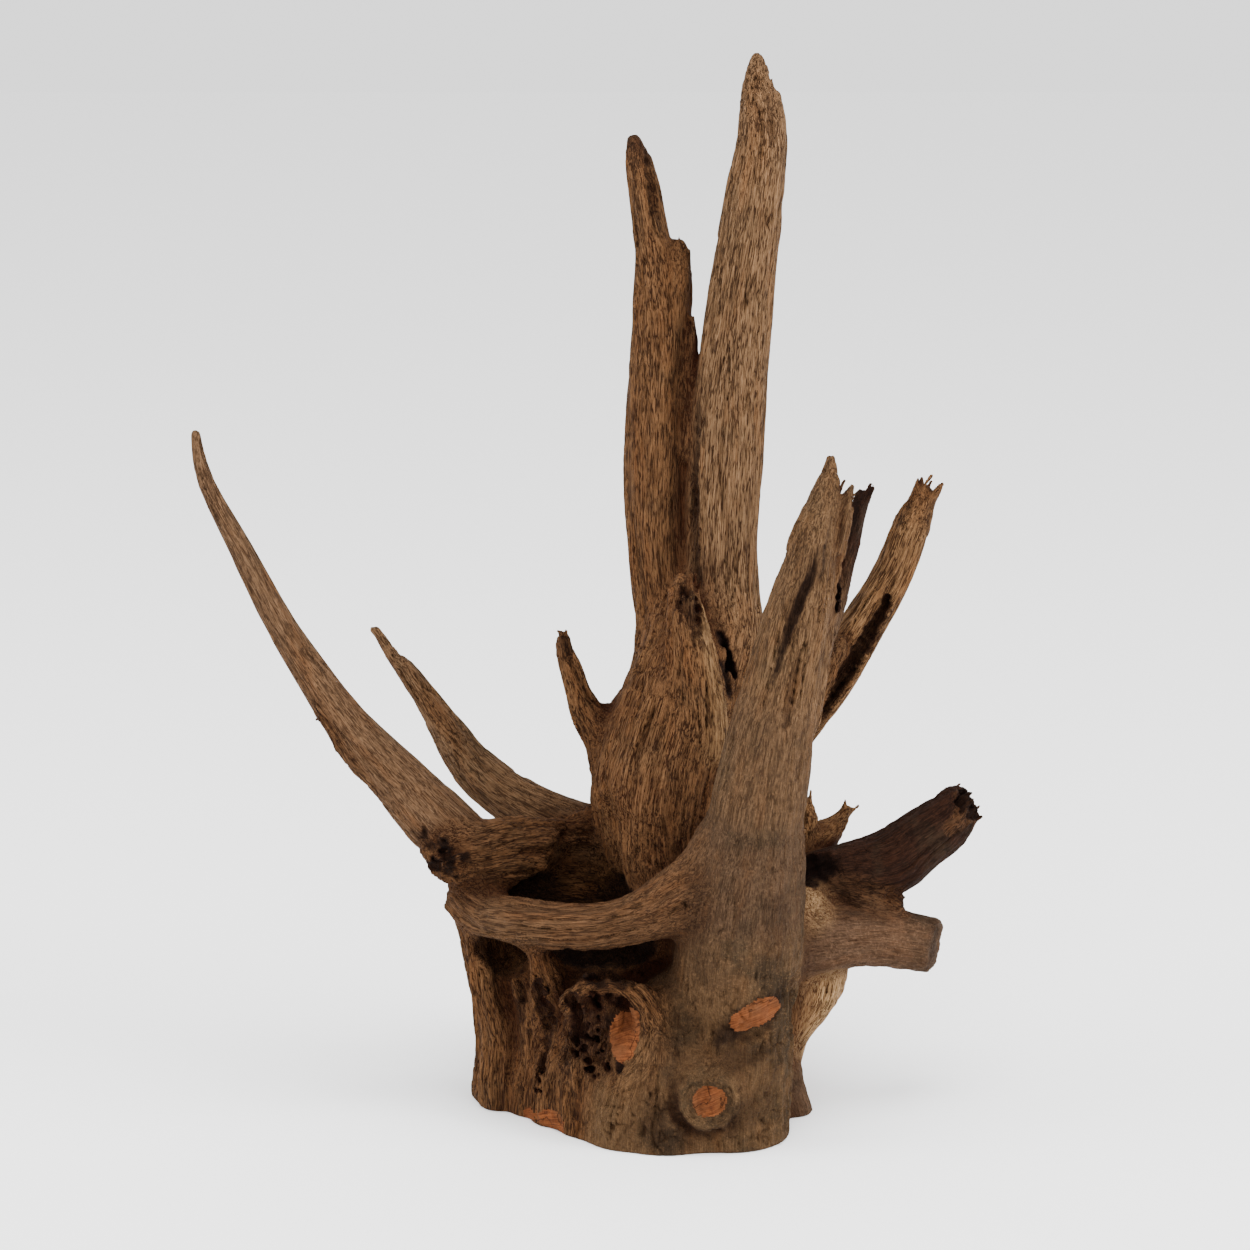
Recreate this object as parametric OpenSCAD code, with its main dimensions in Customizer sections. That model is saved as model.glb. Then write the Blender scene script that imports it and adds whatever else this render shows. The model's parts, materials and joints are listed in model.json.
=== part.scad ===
// Driftwood root stump with a cave: a freestanding ornament for an aquarium or a pond.
// Millimetres. X runs to the right, Y to the back, Z up. The origin lies on the flat base,
// under the middle of the stump.
//
// Each limb is a route of hand-placed stations, [x, y, z, radius], from its tip to its core.
// A smooth curve runs through the stations, and the limb is the skin over the balls along it.
// Where two pieces meet, one of them keeps its whole core, as a branch does inside a trunk,
// and the other has a socket of that same shape.

/* [Whole piece] */
// Height from the base to the tallest tip
overall_height = 448; // [300:1:600]
// Thickness of every limb, as a part of the modelled one
limb_thickness = 1; // [0.95:0.01:1.05]
// Height of the saw cut that makes the flat base, above the lowest modelled wood
base_cut = 0; // [0:0.5:3]

/* [Cave] */
// Radius of the cave chamber behind the bridge root
chamber_r = 22; // [18:0.5:23]
// Height of the middle of the chamber
chamber_z = 84; // [82:0.5:88]
// Radius of the mouth above the chamber
mouth_r = 17; // [14:0.5:18]
// Half the height of the low opening under the right half of the bridge root
low_gap_r = 6; // [4.5:0.5:7]

/* [Knots] */
// Radius of the round knot at the lower front
round_knot_r = 7; // [5:0.5:9]
// Depth to which every heartwood knot runs into the wood
knot_depth = 14; // [8:1:18]

/* [Detail] */
// Facets round each ball of a limb
ball_facets = 12; // [8:2:14]
// Facets round each ball of the stump
stump_facets = 16; // [12:2:20]
// Steps of the smooth curve between two stations
route_steps = 2; // [1:1:3]

/* [Hidden] */

modelled_height = 448;
k = overall_height / modelled_height;
far = 400;

trunk_brown = [0.53, 0.42, 0.31];
mid_brown = [0.45, 0.34, 0.25];
dark_brown = [0.30, 0.22, 0.16];
grey_brown = [0.43, 0.38, 0.31];
pale_brown = [0.58, 0.47, 0.35];
heart_orange = [0.68, 0.34, 0.18];

// Routes of the tall limbs
tall_right_route = [[46, 45, 445, 3], [47, 45, 433, 7], [46, 45, 412, 10], [43, 43, 378, 12.5],
                    [37, 40, 330, 14], [33, 37, 280, 16], [31, 34, 230, 16], [31, 31, 200, 17],
                    [26, 26, 175, 14], [20, 22, 150, 10]];
tall_left_route = [[-6, 52, 409, 3], [-4, 52, 394, 6], [1, 51, 374, 8], [6, 50, 356, 11],
                   [8, 50, 325, 12], [5, 47, 285, 14], [4, 42, 245, 13], [8, 36, 200, 12],
                   [10, 26, 160, 8]];
centre_route = [[22, 32, 208, 16], [20, 28, 194, 22], [14, 18, 174, 26], [7, 10, 150, 28],
                [3, 5, 126, 27], [4, 6, 104, 20]];
stub_route = [[17, 17, 227, 3.5], [18, 15, 212, 8], [21, 12, 190, 11], [22, 8, 168, 12],
              [18, 8, 148, 9]];
twig_route = [[-36, 11, 203, 1.2], [-31, 12, 193, 3.5], [-26, 14, 178, 6.5], [-17, 15, 161, 8],
              [-4, 14, 142, 7]];

// Routes of the front and right limbs
horn_route = [[74, -45, 294, 2.5], [72, -46, 280, 5.5], [67, -47, 264, 9.5],
              [64, -48, 246, 12], [59, -49, 225, 14], [51, -50, 184, 16], [45, -48, 148, 19],
              [40, -42, 108, 25], [34, -34, 70, 20]];
lamella_route = [[86, -30, 277, 2.5], [83, -31, 265, 5], [78, -33, 250, 6], [72, -37, 230, 6],
                 [62, -42, 208, 6]];
rear_limb_route = [[118, 55, 254, 5], [112, 53, 238, 8.5], [104, 50, 220, 9],
                   [94, 47, 202, 10], [82, 43, 184, 10.5], [60, 36, 156, 11.5],
                   [44, 26, 132, 11], [30, 18, 116, 8]];
rear_flake_route = [[83, 36, 197, 2], [78, 35, 186, 5], [72, 32, 172, 5], [64, 29, 157, 4]];
upper_stub_route = [[133, 9, 129, 10], [126, 7, 123, 12], [114, 4, 115, 13], [102, 1, 107, 15],
                    [85, -1, 104, 13], [68, -5, 100, 12], [52, -8, 94, 8]];
lower_stub_route = [[116, -5, 73, 12], [102, -8, 76, 12.5], [86, -12, 78, 13], [66, -16, 77, 14],
                    [48, -20, 74, 9]];
pointed_flake_route = [[86, 20, 125, 1.5], [80, 18, 118, 4.5], [71, 14, 112, 8], [56, 8, 102, 8]];
shard_route = [[67, 8, 132, 1.5], [69, 9, 124, 4], [64, 10, 110, 7]];
lower_stub_cut = 122;
knot_y = -63;

// Routes of the left limbs
long_branch_route = [[-188, 0, 295, 2], [-184, 0, 273, 3.5], [-170, 0, 244, 5],
                     [-152, 0, 207, 6.5], [-127, 0, 168, 9.5], [-105, 0, 143, 12],
                     [-85, 0, 121, 14], [-62, 6, 104, 9]];
splinter_route = [[-137, -8, 172, 1], [-132, -8, 163, 2.5], [-124, -6, 153, 4],
                  [-110, -2, 143, 4]];
spike_route = [[-118, 60, 194, 1.2], [-111, 58, 183, 3], [-102, 56, 170, 4.5],
               [-91, 53, 156, 6.5], [-76, 48, 135, 10], [-59, 42, 122, 11],
               [-38, 33, 113, 12], [-18, 22, 110, 12]];
torn_root_route = [[-88, -10, 115, 8], [-79, -6, 112, 12], [-62, 4, 113, 11],
                   [-44, 10, 113, 10], [-28, 12, 112, 9]];
bridge_route = [[-78, -4, 92, 8], [-68, -14, 88, 9], [-56, -24, 89, 10], [-40, -33, 90.5, 10],
                [-20, -40, 93, 10], [0, -44, 99, 11], [18, -46, 108, 14], [34, -44, 112, 12]];
pillar_route = [[-48, -28, 84, 6], [-46, -28, 74, 5], [-42, -30, 60, 8], [-38, -24, 46, 9]];

// Routes of the low parts of the stump
lobe_route = [[-68, 0, 84, 14], [-65, 3, 62, 14], [-61, 4, 42, 15], [-60, 5, 20, 15],
              [-59, 6, 4, 18]];
buttress_route = [[62, -12, 90, 14], [66, -2, 70, 17], [70, 4, 53, 15], [58, 4, 30, 11],
                  [50, 2, 10, 10]];
foot_route = [[62, -15, 4, 8], [56, -10, 15, 8], [44, -4, 27, 8]];
rear_toe_route = [[30, 66, 6, 12], [24, 52, 24, 16], [14, 36, 52, 19], [10, 24, 84, 14]];
left_toe_route = [[-36, 58, 6, 11], [-24, 44, 26, 14], [-4, 28, 54, 16]];
burl_route = [[-20, -38, 53, 17], [-22, -36, 40, 17], [-24, -28, 26, 14]];

// Smooth curve through the stations of a route, with the radius along it
function curve(p) = [
    for (i = [0 : len(p) - 2], s = [0 : route_steps - 1])
        let (a = p[max(i - 1, 0)],
             b = p[i],
             c = p[i + 1],
             d = p[min(i + 2, len(p) - 1)],
             t = s / route_steps)
        (2 * b + (c - a) * t + (2 * a - 5 * b + 4 * c - d) * t ^ 2
            + (3 * b - a - 3 * c + d) * t ^ 3) / 2,
    p[len(p) - 1]];

// One ball of a limb
module ball(q, facets = ball_facets)
    translate([q[0], q[1], q[2]])
        sphere(r = q[3] * limb_thickness, $fn = facets);

// Limb along a route
module limb(p) {
    q = curve(p);
    for (i = [0 : len(q) - 2])
        hull() {
            ball(q[i]);
            ball(q[i + 1]);
        }
}

// Lump of wood round a few balls
module lump(balls)
    hull()
        for (b = balls)
            ball(b, stump_facets);

// Everything under the saw cut that makes the base flat
module below_base()
    translate([-far, -far, -far])
        cube([2 * far, 2 * far, far]);

// Sets a piece on its base and brings it to its size
module standing()
    scale(k)
        difference() {
            translate([0, 0, -base_cut])
                children();
            below_base();
        }

// Cave chamber, its mouth, and the two low openings under the bridge root
module cave() {
    limb([[-52, -4, chamber_z + 6, chamber_r * 0.6],
          [-25, -4, chamber_z, chamber_r],
          [0, -18, chamber_z + 1, chamber_r * 0.6]]);
    hull() {
        ball([-44, -8, chamber_z + 10, mouth_r * 0.65]);
        ball([-20, -8, chamber_z + 12, mouth_r]);
        ball([-44, -16, chamber_z + 42, mouth_r * 0.65]);
        ball([-20, -16, chamber_z + 46, mouth_r]);
    }
    hull() {
        ball([-20, -16, chamber_z + 6, 12]);
        ball([8, -26, chamber_z + 16, 7]);
        ball([8, -32, chamber_z + 46, 7]);
    }
    hull() {
        ball([-32, -22, 76, low_gap_r]);
        ball([-4, -28, 77, low_gap_r]);
        ball([-32, -70, 76, low_gap_r]);
        ball([-4, -70, 77, low_gap_r]);
    }
    hull() {
        ball([-60, -4, 70, 8]);
        ball([-62, -40, 67, 9]);
    }
    hull() {
        ball([-60, -4, 70, 8]);
        ball([-40, -4, 82, 12]);
    }
}

// Rotten pit beside the heartwood oval
module burl_pit()
    hull() {
        ball([-27, -46, 52, 6]);
        ball([-31, -66, 51, 8]);
    }

// Slit between the broken stub and the tall trunk behind it
module stub_slit()
    hull() {
        ball([32, 14, 200, 3]);
        ball([34, 12, 182, 4]);
        ball([34, -14, 200, 4]);
        ball([36, -14, 182, 5]);
    }

// Uncut body of the stump
module stump_body() {
    lump([[4, 8, 12, 36], [6, 12, 45, 35], [6, 14, 85, 32], [5, 14, 104, 26]]);
    lump([[-12, -46, 7, 14], [8, -54, 7, 14], [30, -54, 7, 13], [46, -47, 7, 13],
          [52, -26, 12, 12], [0, -20, 8, 20], [38, -42, 64, 22], [16, -36, 58, 18]]);
    lump([[-20, 2, 60, 24], [-46, 6, 84, 18], [-66, 4, 98, 16]]);
    lump([[-48, 20, 90, 15], [-24, 24, 96, 18], [0, 26, 100, 22], [-10, 24, 60, 22]]);
    lump([[-40, -2, 14, 20], [-44, 2, 50, 20], [-10, 10, 20, 30]]);
    lump([[44, -14, 90, 18], [50, -8, 60, 20], [46, -2, 24, 18], [10, 10, 60, 30]]);
}

// Forms of the knots, each a core that narrows into the wood
module oval_form()
    hull() {
        ball([-10, -49, 50, 5.5]);
        ball([-10, -49, 42, 5.5]);
        ball([-8, -49 + knot_depth, 46, 3]);
    }

module round_knot_form()
    hull() {
        ball([25, knot_y, 23, round_knot_r]);
        ball([26, knot_y + knot_depth, 24, round_knot_r * 0.6]);
    }

module sawn_form()
    hull() {
        ball([37, -58, 57, 5.5]);
        ball([49, -58, 62, 5.5]);
        ball([42, -58 + knot_depth, 58, 4]);
    }

module base_heart_form()
    hull() {
        ball([-47, -10, 4, 5]);
        ball([-32, -20, 4, 5]);
        ball([-38, -10 + knot_depth, 6, 4]);
    }

module burl_form() limb(burl_route);

module flake_form() {
    limb(pointed_flake_route);
    limb(shard_route);
}

module rear_root_form() {
    limb(rear_toe_route);
    limb(left_toe_route);
}

// Sawn end of the lower right stub
module lower_stub_form()
    difference() {
        limb(lower_stub_route);
        translate([lower_stub_cut, -50, 0])
            cube([40, 100, 150]);
    }

module root_stump()
    color(mid_brown)
        standing()
            difference() {
                stump_body();
                cave();
                limb(lobe_route);
                limb(buttress_route);
                limb(foot_route);
                rear_root_form();
                limb(centre_route);
                limb(horn_route);
                limb(rear_limb_route);
                limb(long_branch_route);
                limb(spike_route);
                limb(torn_root_route);
                limb(bridge_route);
                limb(pillar_route);
                limb(upper_stub_route);
                lower_stub_form();
                flake_form();
                burl_form();
                oval_form();
                round_knot_form();
                sawn_form();
                base_heart_form();
            }

module left_lobe()
    color(mid_brown)
        standing()
            difference() {
                limb(lobe_route);
                cave();
                limb(long_branch_route);
                limb(torn_root_route);
                limb(bridge_route);
                base_heart_form();
            }

module right_buttress()
    color(pale_brown)
        standing()
            difference() {
                limb(buttress_route);
                limb(horn_route);
                limb(upper_stub_route);
                lower_stub_form();
                flake_form();
                limb(foot_route);
            }

module right_foot()
    color(mid_brown)
        standing()
            limb(foot_route);

module rear_root()
    color(mid_brown)
        standing()
            rear_root_form();

module centre_trunk()
    color(mid_brown)
        standing()
            difference() {
                limb(centre_route);
                cave();
                stub_slit();
                limb(tall_right_route);
                limb(tall_left_route);
                limb(stub_route);
                limb(twig_route);
                limb(horn_route);
                limb(rear_limb_route);
                limb(spike_route);
                rear_root_form();
            }

module tall_trunk_right()
    color(trunk_brown)
        standing()
            difference() {
                limb(tall_right_route);
                stub_slit();
                limb(stub_route);
            }

module tall_trunk_left()
    color(trunk_brown)
        standing()
            difference() {
                limb(tall_left_route);
                limb(tall_right_route);
                limb(stub_route);
            }

module broken_front_stub()
    color(mid_brown)
        standing()
            difference() {
                limb(stub_route);
                stub_slit();
            }

module small_twig()
    color(mid_brown)
        standing()
            limb(twig_route);

module front_horn()
    color(grey_brown)
        standing()
            difference() {
                limb(horn_route);
                limb(lamella_route);
                sawn_form();
            }

module horn_lamella()
    color(dark_brown)
        standing()
            limb(lamella_route);

module rear_right_limb()
    color(trunk_brown)
        standing()
            difference() {
                limb(rear_limb_route);
                limb(rear_flake_route);
                limb(tall_right_route);
                rear_root_form();
            }

module rear_limb_flake()
    color(dark_brown)
        standing()
            limb(rear_flake_route);

module long_left_branch()
    color(trunk_brown)
        standing()
            difference() {
                limb(long_branch_route);
                limb(splinter_route);
            }

module branch_splinter()
    color(mid_brown)
        standing()
            limb(splinter_route);

module left_spike()
    color(mid_brown)
        standing()
            difference() {
                limb(spike_route);
                rear_root_form();
            }

module left_torn_root()
    color(dark_brown)
        standing()
            difference() {
                limb(torn_root_route);
                cave();
                limb(long_branch_route);
                limb(bridge_route);
                limb(centre_route);
                limb(spike_route);
            }

module bridge_root()
    color(trunk_brown)
        standing()
            difference() {
                limb(bridge_route);
                limb(horn_route);
                limb(long_branch_route);
            }

module cave_pillar()
    color(mid_brown)
        standing()
            difference() {
                limb(pillar_route);
                limb(bridge_route);
                burl_form();
            }

module right_upper_stub()
    color(dark_brown)
        standing()
            difference() {
                limb(upper_stub_route);
                limb(horn_route);
            }

module right_lower_stub()
    color(mid_brown)
        standing()
            difference() {
                lower_stub_form();
                limb(upper_stub_route);
                limb(horn_route);
            }

module pointed_flake()
    color(pale_brown)
        standing()
            difference() {
                flake_form();
                limb(upper_stub_route);
            }

module knot_burl()
    color(dark_brown)
        standing()
            difference() {
                burl_form();
                burl_pit();
                oval_form();
            }

module heartwood_oval()
    color(heart_orange)
        standing()
            oval_form();

module round_knot()
    color(heart_orange)
        standing()
            round_knot_form();

module sawn_heartwood()
    color(heart_orange)
        standing()
            sawn_form();

module base_heartwood()
    color(heart_orange)
        standing()
            base_heart_form();

root_stump();
left_lobe();
right_buttress();
right_foot();
rear_root();
centre_trunk();
tall_trunk_right();
tall_trunk_left();
broken_front_stub();
small_twig();
front_horn();
horn_lamella();
rear_right_limb();
rear_limb_flake();
long_left_branch();
branch_splinter();
left_spike();
left_torn_root();
bridge_root();
cave_pillar();
right_upper_stub();
right_lower_stub();
pointed_flake();
knot_burl();
heartwood_oval();
round_knot();
sawn_heartwood();
base_heartwood();
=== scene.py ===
"""Looks of the driftwood cave stump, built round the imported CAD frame.

The wood is grown as one skin: every limb is a route of stations, whose balls are blended into a
signed distance grid. Hollows and saw cuts are carved into it, broken fibres are set on the torn
ends, and the grid is meshed. Furrows are real relief on that skin. It is divided along the natural
unions into one closed piece per CAD node. Lengths are millimetres up to make_piece, then metres.
"""

import json
import math

import bpy
import numpy as np
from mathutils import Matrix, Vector


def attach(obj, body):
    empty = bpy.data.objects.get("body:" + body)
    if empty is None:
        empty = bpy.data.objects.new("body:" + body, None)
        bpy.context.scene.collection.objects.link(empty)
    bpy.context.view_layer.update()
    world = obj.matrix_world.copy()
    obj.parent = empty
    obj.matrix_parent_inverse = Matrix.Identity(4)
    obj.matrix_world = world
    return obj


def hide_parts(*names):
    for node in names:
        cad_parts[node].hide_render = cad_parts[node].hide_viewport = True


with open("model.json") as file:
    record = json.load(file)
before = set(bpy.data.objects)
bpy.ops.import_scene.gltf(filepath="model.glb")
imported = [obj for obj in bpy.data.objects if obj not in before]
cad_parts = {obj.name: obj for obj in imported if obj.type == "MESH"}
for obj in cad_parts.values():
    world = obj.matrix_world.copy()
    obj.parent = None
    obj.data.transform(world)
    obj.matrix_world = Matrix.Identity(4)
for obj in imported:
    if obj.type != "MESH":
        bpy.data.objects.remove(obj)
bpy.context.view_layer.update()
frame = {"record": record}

MM = 0.001

# ---------------------------------------------------------------- camera

CAMERA_ELEVATION = math.radians(15)
CAMERA_DISTANCE = 1.9
CAMERA_TARGET = Vector((-0.010, 0.0, 0.212))
VIEW_WIDTH = 0.525
SENSOR_WIDTH = 36.0


def make_camera():
    data = bpy.data.cameras.new("camera")
    data.sensor_width = SENSOR_WIDTH
    data.lens = SENSOR_WIDTH * CAMERA_DISTANCE / VIEW_WIDTH
    camera = bpy.data.objects.new("camera", data)
    back = Vector((0, -math.cos(CAMERA_ELEVATION), math.sin(CAMERA_ELEVATION)))
    camera.location = CAMERA_TARGET + CAMERA_DISTANCE * back
    camera.rotation_euler = (math.radians(90) - CAMERA_ELEVATION, 0, 0)
    bpy.context.scene.collection.objects.link(camera)
    bpy.context.scene.camera = camera


make_camera()

# ---------------------------------------------------------------- routes of the wood


def wood_kind(red, green, blue, rot=0.0, relief=1.0, fibre=1.0):
    """Linear colour of the dry face, how decayed it is, how deep its furrows are, and how much of
    its grain shows, from 0 on worn bare wood to 1."""
    return {"tint": (red, green, blue), "rot": rot, "relief": relief, "fibre": fibre}


SUNLIT = wood_kind(0.178, 0.098, 0.048)
TRUNK = wood_kind(0.135, 0.064, 0.027)
CORE = wood_kind(0.146, 0.070, 0.030, relief=1.5)
BRANCH = wood_kind(0.132, 0.072, 0.037, relief=0.5, fibre=0.6)
LIMB = wood_kind(0.180, 0.093, 0.041, relief=1.2)
STUMP = wood_kind(0.120, 0.055, 0.022, rot=0.15, relief=1.6)
SPIKE = wood_kind(0.135, 0.074, 0.037, rot=0.05, relief=1.1, fibre=0.7)
BRIDGE = wood_kind(0.106, 0.052, 0.024, rot=0.15, relief=1.3, fibre=0.6)
TORN = wood_kind(0.120, 0.056, 0.024, rot=0.7, relief=1.5)
HORN = wood_kind(0.130, 0.071, 0.034, rot=0.05, relief=1.1, fibre=0.6)
HORN_FOOT = wood_kind(0.080, 0.045, 0.024, rot=0.2, relief=0.7, fibre=0.3)
FRONT = wood_kind(0.115, 0.064, 0.030, rot=0.7, relief=0.9, fibre=0.05)
DARK = wood_kind(0.026, 0.010, 0.005, rot=0.15, relief=0.7, fibre=0.45)
RAGGED = wood_kind(0.090, 0.042, 0.018, rot=1.0, relief=1.2)
# Pale wood tints, made lighter still as painted light for light falling from the right and rear.
PALE_WITH_PAINTED_LIGHT = wood_kind(0.300, 0.180, 0.085, relief=0.9)
PALEST_WITH_PAINTED_LIGHT = wood_kind(0.400, 0.245, 0.120, relief=1.2)
SAWN = wood_kind(0.100, 0.055, 0.031, rot=0.35, relief=0.5, fibre=0.2)


RING_STEPS = 10


def ring_of(centre, facing, radius, tube):
    """Stations of a ring of wood or of a groove."""
    way = Vector(facing).normalized()
    side = way.orthogonal().normalized()
    up = way.cross(side)
    turns = [2 * math.pi * i / RING_STEPS for i in range(RING_STEPS + 1)]
    return [[*(Vector(centre) + radius * (math.cos(t) * side + math.sin(t) * up)), tube]
            for t in turns]


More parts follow.
